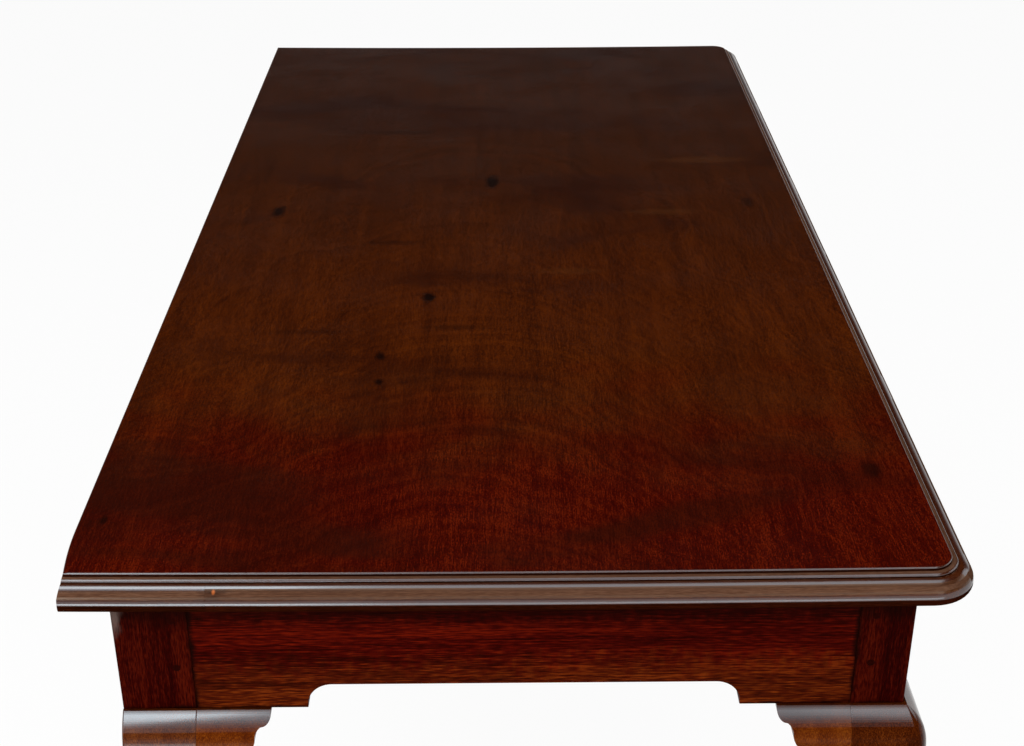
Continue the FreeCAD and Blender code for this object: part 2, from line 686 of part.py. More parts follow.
def left_bracket(label, along_front, joint, way):
    """A bracket whose joint with the leg lies at joint along the rail, and which runs that way along it."""
    body = new_body(label)
    tip = f"{joint} + {way} * Sizes.bracket_length"
    along = (joint, tip) if way > 0 else (tip, joint)
    levels = [(knee_level(share), knee_reach(share)) for share in KNEE_SHARES]
    levels.append((KNEE_FOOT, knee_reach(1)))
    sections = []
    for count, (level, reach) in enumerate(levels):
        sketch = new_sketch(body, f"section_{count}", "XY_Plane", level)
        if along_front:
            low, high = (along[0], f"-({FRONT_Y} + {reach})"), (along[1], f"-{FRONT_INNER_Y}")
        else:
            low, high = (f"-({FRAME_X} + {reach})", along[0]), (f"-{END_INNER_X}", along[1])
        sections.append(draw(sketch, [low, (high[0], low[1]), high, (low[0], high[1])]))
    loft(body, "knee_shape", sections)
    plane, middle = ("XZ_Plane", FRONT_INNER_Y) if along_front else ("YZ_Plane", f"-{END_INNER_X}")
    profile = draw(new_sketch(body, "profile", plane, middle), bracket_profile(joint, way))
    reach = f"2 * (Sizes.rail_thickness + Sizes.knee_projection + {OVERCUT})"
    pocket(body, "sawn_profile", profile, reach, both_ways=True)
    return finish(body, label)


# Cross bearers and glue blocks under the top


def left_bearer():
    body = new_body("left_cross_bearer")
    middle = f"-{BEARER_X}"
    wide = "(Sizes.bearer_width / 2)"
    neck = f"({wide} - Sizes.dovetail_flare)"
    front, back = f"-{FRONT_INNER_Y}", BACK_INNER_Y
    front_end, back_end = f"{front} - Sizes.dovetail_length", f"{back} + Sizes.dovetail_length"
    half = [(wide, front_end), (neck, front), (wide, front), (wide, back), (neck, back), (wide, back_end)]
    corners = [(f"{middle} + {x}", y) for x, y in half]
    corners += [(f"{middle} - {x}", y) for x, y in reversed(half)]
    outline = draw(new_sketch(body, "plan", "XY_Plane", RAIL_TOP), corners)
    pad(body, "bar", outline, "Sizes.bearer_thickness", reversed_way=True)
    return finish(body, "left_cross_bearer")


def glue_block(label, plane, start, face, inward):
    """A block in the corner of a rail's inner face and the top, from start along the rail."""
    body = new_body(label)
    leg, nose = "Sizes.block_leg", "Sizes.block_nose"
    shape = [("0", "0"), (leg, "0"), (leg, nose), (nose, leg), ("0", leg)]
    corners = [(f"{face} + {inward} * {out}", f"{RAIL_TOP} - {down}") for out, down in shape]
    sketch = draw(new_sketch(body, "section", plane, start), corners)
    pad(body, "prism", sketch, "Sizes.block_length")
    return finish(body, label)


def left_glue_blocks():
    blocks = []
    half = "Sizes.block_length / 2"
    front, back, end = f"-{FRONT_INNER_Y}", BACK_INNER_Y, f"-{END_INNER_X}"
    middles = {
        "inner": "Sizes.inner_block_offset",
        "outer": f"({POST_INNER_X} - Sizes.outer_block_inset)",
    }
    for name, middle in middles.items():
        start = f"-{middle} - {half}"
        blocks.append(glue_block(f"front_left_{name}_glue_block", "YZ_Plane", start, front, 1))
        blocks.append(glue_block(f"back_left_{name}_glue_block", "YZ_Plane", start, back, -1))
    for name, sign in (("front", "-"), ("back", "+")):
        middle = f"({END_MIDDLE_Y} {sign} Sizes.end_block_offset)"
        start = f"-({middle} + {half})"
        blocks.append(glue_block(f"left_end_{name}_glue_block", "XZ_Plane", start, end, 1))
    return blocks


# Fasteners


def tenon_pegs():
    pegs = []
    for name, ((x, y), axis, drops) in PEG_ROWS.items():
        for count, drop in enumerate(drops, start=1):
            peg = doc.addObject("Part::Cylinder", f"{name}_peg_{count}")
            peg.setExpression("Radius", "Sizes.peg_diameter / 2")
            peg.setExpression("Height", "Sizes.peg_length")
            place(peg, (x, y, f"{RAIL_TOP} - ({drop})"), axis, QUARTER_TURN)
            pegs.append(peg)
    left = doc.addObject("Part::Compound", "left_pegs")
    left.Links = pegs
    right = doc.addObject("Part::Mirroring", "right_pegs")
    right.Source = left
    right.Normal = Vector(1, 0, 0)
    group = doc.addObject("Part::Compound", "tenon_pegs")
    group.Links = [left, right]
    finish(group, "tenon_pegs")


def top_screws():
    screw = new_body("screw")
    profile = new_sketch(screw, "half_section", "XZ_Plane", "0")
    head, shank = "Sizes.screw_head_diameter / 2", "Sizes.screw_shank_diameter / 2"
    corners = [
        ("0", "-Sizes.screw_head_height"),
        (head, "-Sizes.screw_head_height"),
        (head, "0"),
        (shank, "0"),
        (shank, "Sizes.screw_length - Sizes.screw_point"),
        ("0", "Sizes.screw_length"),
    ]
    draw(profile, corners)
    turn(screw, "turned_screw", profile)
    corner = ("-Sizes.screw_slot_width / 2", f"-{head}", "-Sizes.screw_head_height")
    size = ("Sizes.screw_slot_width", "Sizes.screw_head_diameter", "Sizes.screw_slot_depth")
    block(screw, "Subtractive", "slot", corner, size)
    copies = []
    for rail, screws in SCREWS.items():
        for count, spot in enumerate(screws, start=1):
            copy = doc.addObject("App::Link", f"{rail}_screw_{count}")
            copy.LinkedObject = screw
            place(copy, on_screw_axis(spot, "-Sizes.screw_seat"), spot[1], TILT)
            copies.append(copy)
    group = doc.addObject("Part::Compound", "top_screws")
    group.Links = copies
    finish(group, "top_screws")


make_top()
mirrored(left_end_rail(), "right_end_rail")
long_rail("front_rail", f"-{FRONT_Y}", f"-{FRONT_INNER_Y}", True, "front_long")
long_rail("back_rail", BACK_OUTER_Y, BACK_INNER_Y, False, "back_long")
mirrored(left_leg("front_left_leg", back=False), "front_right_leg")
mirrored(left_leg("back_left_leg", back=True), "back_right_leg")
mirrored(left_bracket("front_left_front_bracket", True, f"-{POST_INNER_X}", 1), "front_right_front_bracket")
mirrored(left_bracket("front_left_end_bracket", False, f"-{FRONT_JOINT_Y}", 1), "front_right_end_bracket")
mirrored(left_bracket("back_left_end_bracket", False, BACK_JOINT_Y, -1), "back_right_end_bracket")
mirrored(left_bearer(), "right_cross_bearer")
for left_block in left_glue_blocks():
    mirrored(left_block, left_block.Label.replace("left", "right"))
tenon_pegs()
top_screws()

doc.recompute()
for thing in doc.Objects:
    if {"Invalid", "Error"} & set(thing.State):
        raise RuntimeError(f"{thing.Label} failed: {thing.State}")
for part in parts:
    if part.Shape.isNull() or not part.Shape.isValid() or not part.Shape.Solids:
        raise RuntimeError(f"{part.Label} has no valid solid")

os.makedirs("parts", exist_ok=True)
for part in parts:
    part.Shape.exportStep(f"parts/{part.Label}.step")
    print(f"{part.Label}: {len(part.Shape.Solids)} solid, {part.Shape.Volume / 1000:.1f} cm3")
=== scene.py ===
import math

import bmesh
import bpy
from mathutils import Matrix, Vector


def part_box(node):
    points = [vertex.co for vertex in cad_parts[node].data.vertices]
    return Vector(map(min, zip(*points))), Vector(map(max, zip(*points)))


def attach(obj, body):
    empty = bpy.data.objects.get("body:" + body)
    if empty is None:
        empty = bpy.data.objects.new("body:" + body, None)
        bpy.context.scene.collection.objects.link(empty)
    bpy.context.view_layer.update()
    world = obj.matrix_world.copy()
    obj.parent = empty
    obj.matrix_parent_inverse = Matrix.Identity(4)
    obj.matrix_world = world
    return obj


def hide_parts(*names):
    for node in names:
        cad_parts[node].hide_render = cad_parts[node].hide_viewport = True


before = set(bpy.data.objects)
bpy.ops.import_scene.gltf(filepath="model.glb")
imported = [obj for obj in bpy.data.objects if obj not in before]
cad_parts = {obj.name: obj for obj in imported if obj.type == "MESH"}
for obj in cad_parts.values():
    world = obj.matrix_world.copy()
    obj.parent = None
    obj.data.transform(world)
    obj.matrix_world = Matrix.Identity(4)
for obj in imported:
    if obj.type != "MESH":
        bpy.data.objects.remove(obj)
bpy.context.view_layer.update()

# Planes of the frame, in metres: X along the table, front towards -Y, floor at Z = 0
TOP_LOW, TOP_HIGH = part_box("top")
END_LOW, END_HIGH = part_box("left_end_rail")
FRONT_LOW, FRONT_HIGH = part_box("front_rail")
RAIL_TOP, RAIL_BOTTOM = END_HIGH.z, END_LOW.z
FRAME_X, END_INNER_X = -END_LOW.x, -END_HIGH.x
FRONT_Y, FRONT_INNER_Y = FRONT_LOW.y, FRONT_HIGH.y
BACK_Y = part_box("back_left_leg")[1].y
POST_INNER_X = -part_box("front_left_front_bracket")[0].x
FRONT_JOINT_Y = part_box("front_left_end_bracket")[0].y
BACK_JOINT_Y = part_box("back_left_end_bracket")[1].y
KNEE_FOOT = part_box("front_left_end_bracket")[0].z
BRACKET_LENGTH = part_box("front_left_end_bracket")[1].y - FRONT_JOINT_Y
SPLICE_LENGTH = TOP_HIGH.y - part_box("edge_splice")[0].y
SPLICE_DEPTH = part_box("edge_splice")[1].x - TOP_LOW.x

MM = 0.001
MERGE_DISTANCE = 0.002 * MM

# Moulded edge of the top, from its flat field outwards and down
EDGE_PROJECTION = 18 * MM
FIELD_ARRIS = 1 * MM
FIELD_DROP = 3 * MM
FILLET_WIDTH = 5 * MM
FILLET_ARRIS = 1.5 * MM
FILLET_DROP = 3 * MM
OVOLO_RADIUS = 12.5 * MM
UNDER_RADIUS = 5 * MM
FIELD_CORNER = 19 * MM
HAND_WAVE = 0.12 * MM
# Waves of a hand-planed edge: pace along it, start, and share
HAND_STROKES = ((23, 0, 1), (61, 1.3, 0.6), (137, 2.1, 0.4))
SPLICE_GAP = 0.12 * MM
WORN_LENGTH = 60 * MM
WORN_DEPTH = 4.5 * MM
WORN_BELOW = 0.4
CUPPING = 1.8 * MM

# Shaped rails
CUTOUT_MARGIN = 90 * MM
CUTOUT_DEPTH = 23 * MM
CUTOUT_RADIUS = 20 * MM
RAIL_ARRIS = 0.5 * MM

# Cabriole legs and their brackets
KNEE_PROJECTION = 21 * MM
KNEE_DROP = 55 * MM
KNEE_POWER = 3.85
SHOULDER_STEP = 2.4 * MM
FRONT_RIDGE = 14 * MM
BACK_RIDGE = 2.2 * MM
RUBBED_DROP = 3 * MM
POLISH_ABOVE = 2.2 * MM
POLISH_BELOW = 5.5 * MM
# Knees and brackets carry a painted shade down to this drop below the rail, fading out over the next
PAINTED_SHADE_DROP = 5 * MM
PAINTED_SHADE_FADE = 9 * MM
LEG_ARRIS = 1 * MM
ANKLE_HEIGHT = 96 * MM
ANKLE_WIDTH = 31 * MM
ANKLE_SETBACK = 20 * MM
BACK_ANKLE_SETBACK = 12 * MM
FOOT_DIAMETER = 70 * MM
FOOT_HEIGHT = 24 * MM
FOOT_SETBACK = 26 * MM
BACK_FOOT_SETBACK = 40 * MM
FOOT_LIP = 0.6 * MM
RIM_RADIUS = 14 * MM
PAD_DIAMETER = 54 * MM
PAD_HEIGHT = 6 * MM
THINNING_POWER = 0.75
ROUNDING_PACE = 1.25
SPREAD_POWER = 2.4
ROUND_SHARE = 0.49
BRACKET_TIP = 1.5 * MM
BRACKET_TOE = 3 * MM
BRACKET_ARRIS = 0.4 * MM
# Curves of a bracket's sawn edge from its tip: width, drop at the end, and radius, below 0 where hollow
BRACKET_CURVES = (
    (8.5 * MM, 10.2 * MM, 8.6 * MM),
    (4.5 * MM, 20 * MM, -10 * MM),
    (10.5 * MM, 30 * MM, 11 * MM),
)
SWEEP_RADIUS = -60 * MM
# Carved lower part of a bracket, which stands proud below a slanting line
LEDGE_START = (46 * MM, 24 * MM)
LEDGE_SLOPE = 0.25
LEDGE_WIDTH = 1.5 * MM
LEDGE_HEIGHT = 1.5 * MM

# Pegs through the tenons
PEG_RADIUS = 3.25 * MM
PEG_INSET = 13 * MM
PEG_DROP = 34 * MM
PEG_RISE = 41 * MM
PEG_STAGGER = 11 * MM
PEG_DOME = 0.25 * MM
PEG_LENGTH = 24 * MM
PEG_SIDES = 16

# Camera that took the photograph
CAMERA_PLACE = Vector((-1.7099, 0.0155, 1.4574))
CAMERA_PITCH = math.radians(27.657)
CAMERA_YAW = math.radians(-0.537)
CAMERA_ROLL = math.radians(0.11)
FOCAL_PIXELS = 1601.2
IMAGE_WIDTH = 1024
SENSOR_WIDTH = 36


def clamp(share):
    return max(0, min(1, share))


def smooth_step(share):
    return share**2 * (3 - 2 * share)


def spread(low, high, count):
    """So many evenly spaced values from low to high, both included."""
    return [low + (high - low) * n / (count - 1) for n in range(count)]


def arc(centre, radius, start, end, steps):
    """Points on an arc about a centre, between two angles in degrees."""
    angles = [math.radians(angle) for angle in spread(start, end, steps + 1)]
    return [(centre[0] + radius * math.cos(a), centre[1] + radius * math.sin(a)) for a in angles]


def skin(loops):
    """Vertices and faces between loops with the same number of points."""
    size = len(loops[0])
    vertices = [point for loop in loops for point in loop]
    faces = []
    for start in range(0, size * (len(loops) - 1), size):
        for n in range(size):
            following = (n + 1) % size
            faces.append((start + n, start + following, start + size + following, start + size + n))
    return vertices, faces


def loft(loops):
    """A skin over loops that is closed by a face at either end."""
    vertices, faces = skin(loops)
    size = len(loops[0])
    ends = [tuple(range(size)), tuple(range(len(vertices) - size, len(vertices)))]
    return vertices, faces + ends


def mirrored(shape):
    vertices, faces = shape
    return [(-x, y, z) for x, y, z in vertices], faces


def add_piece(name, shape, materials, sharp_angle=35, arris=0):
    """A piece of the table as a mesh that stands for the node of its name."""
    mesh = bpy.data.meshes.new(name)
    work = bmesh.new()
    vertices = [work.verts.new(point) for point in shape[0]]
    for face in shape[1]:
        work.faces.new([vertices[n] for n in face])
    bmesh.ops.remove_doubles(work, verts=work.verts, dist=MERGE_DISTANCE)
    bmesh.ops.dissolve_degenerate(work, edges=work.edges, dist=MERGE_DISTANCE)
    bmesh.ops.recalc_face_normals(work, faces=work.faces)
    work.to_mesh(mesh)
    work.free()
    mesh.polygons.foreach_set("use_smooth", [True] * len(mesh.polygons))
    mesh.set_sharp_from_angle(angle=math.radians(sharp_angle))
    for material in materials:
        mesh.materials.append(material)
    piece = bpy.data.objects.new(name, mesh)
    bpy.context.collection.objects.link(piece)
    if arris:
        bevel = piece.modifiers.new("arris", "BEVEL")
        bevel.width = arris
        bevel.segments = 2
        bevel.limit_method = "ANGLE"
        bevel.angle_limit = math.radians(45)
    normals = piece.modifiers.new("flat_faces", "WEIGHTED_NORMAL")
    normals.keep_sharp = True
    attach(piece, "root")
    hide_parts(name)
    return piece


# Materials


def srgb(red, green, blue):
    """A colour as it is seen, 0 to 255, as the linear colour that a shader takes."""
    levels = [value / 255 for value in (red, green, blue)]
    linear = [v / 12.92 if v <= 0.04045 else ((v + 0.055) / 1.055) ** 2.4 for v in levels]
    return (*linear, 1)


# Figure of the field: its streaks are so many times as short, and its rings arch about a heart
FIELD_SHORTNESS = 3
HEART_Y = 0.06
RING_ARCH = 4
RING_SWAY = 0.4
RING_SHARE = 0.13
# Colours, from dark to light where there are three
FIELD_RED = (srgb(38, 2, 0), srgb(55, 4, 0), srgb(84, 20, 2))
FIELD_BROWN = (srgb(40, 11, 1), srgb(60, 20, 1), srgb(82, 33, 3))
FIELD_STOPS = (0.42, 0.5, 0.58)
FIELD_FAR_SHADE = srgb(40, 19, 4)
FIELD_SMOKE = srgb(34, 8, 2)
FIELD_PORE = srgb(30, 5, 2)
PALE_STAIN = srgb(104, 60, 26)
DARK_STAIN = srgb(14, 3, 1)
OAK_WOOD = (srgb(92, 66, 42), srgb(128, 96, 62), srgb(160, 126, 86))
OAK_STOPS = (0.4, 0.5, 0.6)
OAK_CLOUD = srgb(78, 58, 40)
OAK_PORE = srgb(58, 40, 26)
IRON_TONES = (srgb(52, 48, 45), srgb(96, 90, 84))
# Dark colour of old dirt in joints, and of painted shade under the top's overhang
DIRT_AND_PAINTED_SHADE = srgb(16, 2, 1)
RAIL_WOOD = (srgb(30, 1, 0), srgb(55, 3, 1), srgb(92, 16, 3))
POST_WOOD = (srgb(24, 0, 0), srgb(41, 1, 0), srgb(70, 14, 3))
PEG_WOOD = (srgb(20, 1, 0), srgb(30, 2, 1), srgb(44, 6, 2))
# Darker colour painted on the up-facing tops of knees and brackets as shade
KNEE_TOP_PAINTED_SHADE = (srgb(44, 13, 3), srgb(62, 22, 4), srgb(82, 36, 8))
FRONT_KNEE_WOOD = (srgb(40, 10, 1), srgb(64, 22, 3), srgb(90, 40, 7))
BACK_KNEE_WOOD = (srgb(48, 14, 3), srgb(78, 33, 7), srgb(106, 56, 18))
BRACKET_WOOD = (srgb(62, 19, 3), srgb(90, 37, 5), srgb(116, 58, 12))
UNDER_WOOD = (srgb(62, 24, 12), srgb(88, 38, 20), srgb(112, 56, 32))
LOWER_RAIL_WOOD = (srgb(38, 7, 1), srgb(66, 18, 3), srgb(108, 46, 10))
# Grey of a painted sheen on a worn corner
WORN_CORNER_SHEEN = (srgb(92, 78, 72), srgb(104, 88, 82), srgb(116, 98, 92))
DULL_WOOD = (srgb(30, 12, 8), srgb(42, 22, 16), srgb(54, 32, 24))
FILLING = (srgb(160, 84, 40), srgb(172, 92, 46), srgb(184, 100, 52))
# Tints of a gleam
WARM = (1.0, 0.55, 0.35, 1)
TAN = (1.0, 0.86, 0.7, 1)
COOL = (0.8, 0.92, 1.0, 1)
# Roughness, specular level and tint of the rails and posts
FRAME_FINISH = (0.4, 0.01, WARM)
# Marks of the frame: painted shade under the overhang, rails paler and browner towards their lower edge,
# and a worn patch on the back left post with a painted grey sheen
WIDE = 3000
# Painted shade: rails and posts darken towards the top's overhang, where its shadow falls
OVERHANG_PAINTED_SHADE = ((((0, 0, RAIL_TOP - 20 * MM), (WIDE, WIDE, 26), 0.75),), (DIRT_AND_PAINTED_SHADE,) * 3)
# Rails grow paler and browner towards their lower edge
LOWER_RAIL_TONE = ((((0, 0, RAIL_BOTTOM + 10 * MM), (WIDE, WIDE, 52), 0.75),), LOWER_RAIL_WOOD)
# A worn corner of the back left post, whose grey is a painted sheen
POST_WEAR_AND_SHEEN = ((((-FRAME_X, BACK_Y, RAIL_TOP - 28 * MM), (12, 10, 28), 0.55),), WORN_CORNER_SHEEN)
# Marks of the moulding where the splice begins: a dark smear and a spot of orange filling
SPLICE_SPOT = (TOP_LOW.x + 5.3 * MM, TOP_HIGH.y - SPLICE_LENGTH - 6.5 * MM, TOP_HIGH.z - 9 * MM)
SPLICE_SMEAR = (((SPLICE_SPOT, (12, 13, 9), 0.55),), DULL_WOOD)
SPLICE_FILLING = (((SPLICE_SPOT, (3, 2, 3), 0.8),), FILLING)


class Graph:
    """The nodes of a material or of the world."""

    def __init__(self, owner):
        self.owner = owner
        self.owner.use_nodes = True
        self.tree = self.owner.node_tree
        self.tree.nodes.clear()

    def feed(self, socket, value):
        if isinstance(value, bpy.types.NodeSocket):
            self.tree.links.new(value, socket)
        else:
            socket.default_value = value

    def node(self, kind, inputs=(), **settings):
        made = self.tree.nodes.new(kind)
        for key, value in settings.items():
            setattr(made, key, value)
        for key, value in dict(inputs).items():
            self.feed(made.inputs[key], value)
        return made

    def math(self, operation, *values):
        return self.node("ShaderNodeMath", enumerate(values), operation=operation).outputs[0]

    def vector(self, operation, *values):
        made = self.node("ShaderNodeVectorMath", enumerate(values), operation=operation)
        return made.outputs["Value" if operation in ("LENGTH", "DOT_PRODUCT") else "Vector"]

    def ease(self, value, low, high, to_low=0, to_high=1):
        """A value between low and high, eased into another range."""
        inputs = {"Value": value, "From Min": low, "From Max": high, "To Min": to_low, "To Max": to_high}
        return self.node("ShaderNodeMapRange", inputs, interpolation_type="SMOOTHSTEP").outputs[0]

    def mix(self, share, first, second):
        made = self.node("ShaderNodeMix", data_type="RGBA")
        for socket, value in zip((0, 6, 7), (share, first, second)):
            self.feed(made.inputs[socket], value)
        return made.outputs[2]

    def ramp(self, value, stops):
        made = self.node("ShaderNodeValToRGB", {"Fac": value})
        elements = made.color_ramp.elements
        while len(elements) < len(stops):
            elements.new(0.5)
        for element, (place, colour) in zip(elements, stops):
            element.position = place
            element.color = colour
        return made.outputs["Color"]

    def tones(self, value, palette, stops=(0.41, 0.5, 0.6)):
        """Tones of a material from dark to light, where a value passes stops from low to high."""
        return self.ramp(value, list(zip(stops, palette)))

    def noise(self, space, stretch, shift, detail, roughness=0.5, distortion=0.0):
        """Noise whose cells are so many to the metre along each axis of a space."""
        cells = self.vector("MULTIPLY_ADD", space, stretch, (shift, shift, shift))
        inputs = {"Vector": cells, "Scale": 1, "Detail": detail, "Roughness": roughness}
        return self.node("ShaderNodeTexNoise", {**inputs, "Distortion": distortion}).outputs[0]

    def space(self, axes):
        """Object coordinates with the grain first, then across the face, then through it."""
        place = self.node("ShaderNodeTexCoord").outputs["Object"]
        parts = self.split(place)
        order = {key: parts["XYZ".index(letter)] for key, letter in zip("XYZ", axes)}
        return self.node("ShaderNodeCombineXYZ", order).outputs[0]

    def split(self, space):
        return self.node("ShaderNodeSeparateXYZ", {"Vector": space}).outputs

    def worn_edge(self, radius):
        """From 0 on flat faces to 1 on edges that hands and cloths have rubbed."""
        rounded = self.node("ShaderNodeBevel", {"Radius": radius}, samples=4).outputs[0]
        true = self.node("ShaderNodeNewGeometry").outputs["Normal"]
        return self.ease(self.vector("DOT_PRODUCT", rounded, true), 0.99, 0.86)

    def surface(self, colour, roughness, height, depth, specular, tint=(1, 1, 1, 1)):
        shader = self.node("ShaderNodeBsdfPrincipled")
        self.feed(shader.inputs["Base Color"], colour)
        self.feed(shader.inputs["Roughness"], roughness)
        shader.inputs["Specular IOR Level"].default_value = specular
        shader.inputs["Specular Tint"].default_value = tint
        bump = self.node("ShaderNodeBump", {"Strength": 1.0, "Distance": depth, "Height": height})
        self.feed(shader.inputs["Normal"], bump.outputs[0])
        out = self.node("ShaderNodeOutputMaterial")
        self.feed(out.inputs["Surface"], shader.outputs[0])
        return self.owner


def wood_figure(graph, space, shift, size=1, ribbon=0.3):
    """Tone, pores and clouds of a polished wood's face, each from 0 to 1.

    Streaks are so many times as large as usual, and broad ribbons make up a share of the tone.
    """
    streak = graph.noise(space, (26 / size, 1400 / size, 1400 / size), shift, detail=3, roughness=0.6)
    fleck = graph.noise(space, (170 / size, 1900 / size, 1900 / size), shift + 3, detail=1)
    fine = graph.math("MULTIPLY", graph.math("ADD", streak, fleck), (1 - ribbon) / 2)
    broad = graph.noise(space, (2.2, 60, 60), shift + 7, detail=3, roughness=0.6)
    tone = graph.math("MULTIPLY_ADD", broad, ribbon, fine)
    pore = graph.ease(graph.noise(space, (95, 1250, 1250), shift + 13, detail=1), 0.6, 0.74)
    cloud = graph.noise(space, (5, 11, 11), shift + 29, detail=3, roughness=0.55)
    return tone, pore, cloud


def blots(graph, spots, shift):
    """Where a face has marks, from 0 to 1: each has a centre, half-sizes in mm, and a strength."""
    place = graph.space("XYZ")
    ragged = graph.noise(place, (90, 160, 90), shift, detail=2)
    total = 0
    for centre, sizes, strength in spots:
        shrunk = tuple(1 / (size * MM) for size in sizes)
        away = graph.vector("MULTIPLY", graph.vector("SUBTRACT", place, centre), shrunk)
        far = graph.math("MULTIPLY_ADD", ragged, 0.7, graph.vector("LENGTH", away))
        total = graph.math("MAXIMUM", graph.ease(far, 0.6, 1.35, strength, 0), total)
    return total


def joint_dirt(graph, joints, shift):
    """Old dirt along joints, each an axis and a place on it, from 0 to 1."""
    place = graph.space("XYZ")
    parts = graph.split(place)
    nearest = 1
    for axis, level in joints:
        away = graph.math("ABSOLUTE", graph.math("SUBTRACT", parts["XYZ".index(axis)], level))
        nearest = graph.math("MINIMUM", away, nearest)
    blotch = graph.noise(place, (45, 45, 45), shift, detail=3, roughness=0.65)
    ragged = graph.math("MULTIPLY_ADD", blotch, 10 * MM, nearest)
    return graph.ease(ragged, 4.5 * MM, 9 * MM, 0.95, 0)


def plain_mahogany(
    name, axes, shift, palette, roughness, specular, tint, pitting=0.03 * MM, size=1, joints=(), marks=()
):
    """Straight-grained polished mahogany: dark, middle and light streaks with pores and worn edges."""
    graph = Graph(bpy.data.materials.new(name))
    space = graph.space(axes)
    tone, pore, cloud = wood_figure(graph, space, shift, size)
    colour = graph.tones(tone, palette)
    colour = graph.mix(graph.ease(cloud, 0.42, 0.75, 0, 0.5), colour, palette[0])
    colour = graph.mix(graph.math("MULTIPLY", pore, 0.4), colour, palette[0])
    colour = graph.mix(graph.math("MULTIPLY", graph.worn_edge(0.8 * MM), 0.35), colour, palette[2])
    # Marks blend in their own palettes: real stains and wear, and also painted shade and painted sheen
    for spots, mark_palette in marks:
        colour = graph.mix(blots(graph, spots, shift + 43), colour, graph.tones(tone, mark_palette))
    if joints:
        colour = graph.mix(joint_dirt(graph, joints, shift + 37), colour, DIRT_AND_PAINTED_SHADE)
    rough = graph.ease(cloud, 0.3, 0.7, roughness - 0.05, roughness + 0.05)
    return graph.surface(colour, rough, graph.math("MULTIPLY", pore, -1), pitting, specular, tint)


# Marks on the field: place from its near end and across it, half-length and half-width in mm, strength
DARK_MARKS = (
    (828, 22, 34, 12, 0.95),
    (733, 270, 24, 11, 0.9),
    (495, 87, 18, 10, 0.97),
    (363, 129, 13, 7, 0.9),
    (310, 127, 9, 6, 0.9),
    (146, -297, 22, 14, 0.7),
    (75, 332, 10, 5, 0.8),
    (756, -279, 24, 10, 0.6),
    (415, 205, 8, 70, 0.35),
    (425, 60, 8, 45, 0.4),
    (640, 130, 9, 55, 0.35),
    (1010, 150, 14, 80, 0.35),
)
PALE_MARKS = (
    (900, -242, 16, 80, 0.14),
    (727, -176, 14, 60, 0.12),
    (560, -60, 12, 50, 0.1),
)


def on_field(marks):
    """Marks of the field as spots in the frame."""
    near = TOP_LOW.x + EDGE_PROJECTION
    spots = []
    for along, across, length, width, strength in marks:
        spots.append(((near + along * MM, across * MM, TOP_HIGH.z), (length, width, 1000), strength))
    return spots


def top_field():
    """The top's flat field: faint arched rings, fleck, smoke across the grain, a redder near end, and
    painted shade towards the far end.
    """
    graph = Graph(bpy.data.materials.new("mahogany_field"))
    space = graph.space("XYZ")
    short = graph.vector("MULTIPLY", space, (FIELD_SHORTNESS, 1, 1))
    grain, pore, cloud = wood_figure(graph, short, 3, ribbon=0.2)
    along, across, _ = graph.split(space)
    sway = graph.noise(space, (2.4, 3.5, 3.5), 11, detail=3)
    off_heart = graph.math("SUBTRACT", across, HEART_Y + RING_SWAY / 2)
    from_heart = graph.math("MULTIPLY_ADD", sway, RING_SWAY, off_heart)
    arch = graph.math("MULTIPLY_ADD", graph.math("MULTIPLY", from_heart, from_heart), RING_ARCH, along)
    rings = graph.node(
        "ShaderNodeTexNoise",
        {"W": arch, "Scale": 60, "Detail": 5, "Roughness": 0.65},
        noise_dimensions="1D",
    )
    rest = graph.math("MULTIPLY", grain, 1 - RING_SHARE)
    tone = graph.math("MULTIPLY_ADD", rings.outputs[0], RING_SHARE, rest)
    fade = graph.math("MULTIPLY_ADD", cloud, 0.3, along)
    red = graph.tones(tone, FIELD_RED, FIELD_STOPS)
    brown = graph.tones(tone, FIELD_BROWN, FIELD_STOPS)
    colour = graph.mix(graph.ease(fade, -0.46, -0.2), red, brown)
    # Painted shade: the field grows darker and browner towards its far end
    colour = graph.mix(graph.ease(along, -0.3, 0.3, 0, 0.5), colour, FIELD_FAR_SHADE)
    smoke = graph.noise(space, (7, 2.6, 3), 41, detail=3, roughness=0.55, distortion=0.6)
    colour = graph.mix(graph.ease(smoke, 0.5, 0.72, 0, 0.65), colour, FIELD_SMOKE)
    colour = graph.mix(graph.math("MULTIPLY", pore, 0.35), colour, FIELD_PORE)
    colour = graph.mix(blots(graph, on_field(PALE_MARKS), 53), colour, PALE_STAIN)
    colour = graph.mix(blots(graph, on_field(DARK_MARKS), 47), colour, DARK_STAIN)
    rough = graph.ease(cloud, 0.3, 0.7, 0.12, 0.17)
    return graph.surface(colour, rough, graph.math("MULTIPLY", pore, -1), 0.02 * MM, 0.5)


def oak(name, axes, shift):
    """Unpolished aged oak, grey-brown, with open pores."""
    graph = Graph(bpy.data.materials.new(name))
    space = graph.space(axes)
    tone, pore, cloud = wood_figure(graph, space, shift)
    colour = graph.tones(tone, OAK_WOOD, OAK_STOPS)
    colour = graph.mix(graph.ease(cloud, 0.4, 0.75, 0, 0.6), colour, OAK_CLOUD)
    colour = graph.mix(graph.math("MULTIPLY", pore, 0.6), colour, OAK_PORE)
    rough = graph.ease(cloud, 0.3, 0.7, 0.68, 0.82)
    return graph.surface(colour, rough, graph.math("MULTIPLY", pore, -1), 0.1 * MM, 0.25)


def iron():
    graph = Graph(bpy.data.materials.new("filed_iron"))
    space = graph.space("XYZ")
    mottle = graph.noise(space, (900, 900, 900), 5, detail=3)
    colour = graph.tones(mottle, IRON_TONES, (0.35, 0.65))
    return graph.surface(colour, graph.ease(mottle, 0.3, 0.7, 0.4, 0.65), mottle, 0.05 * MM, 0.5)


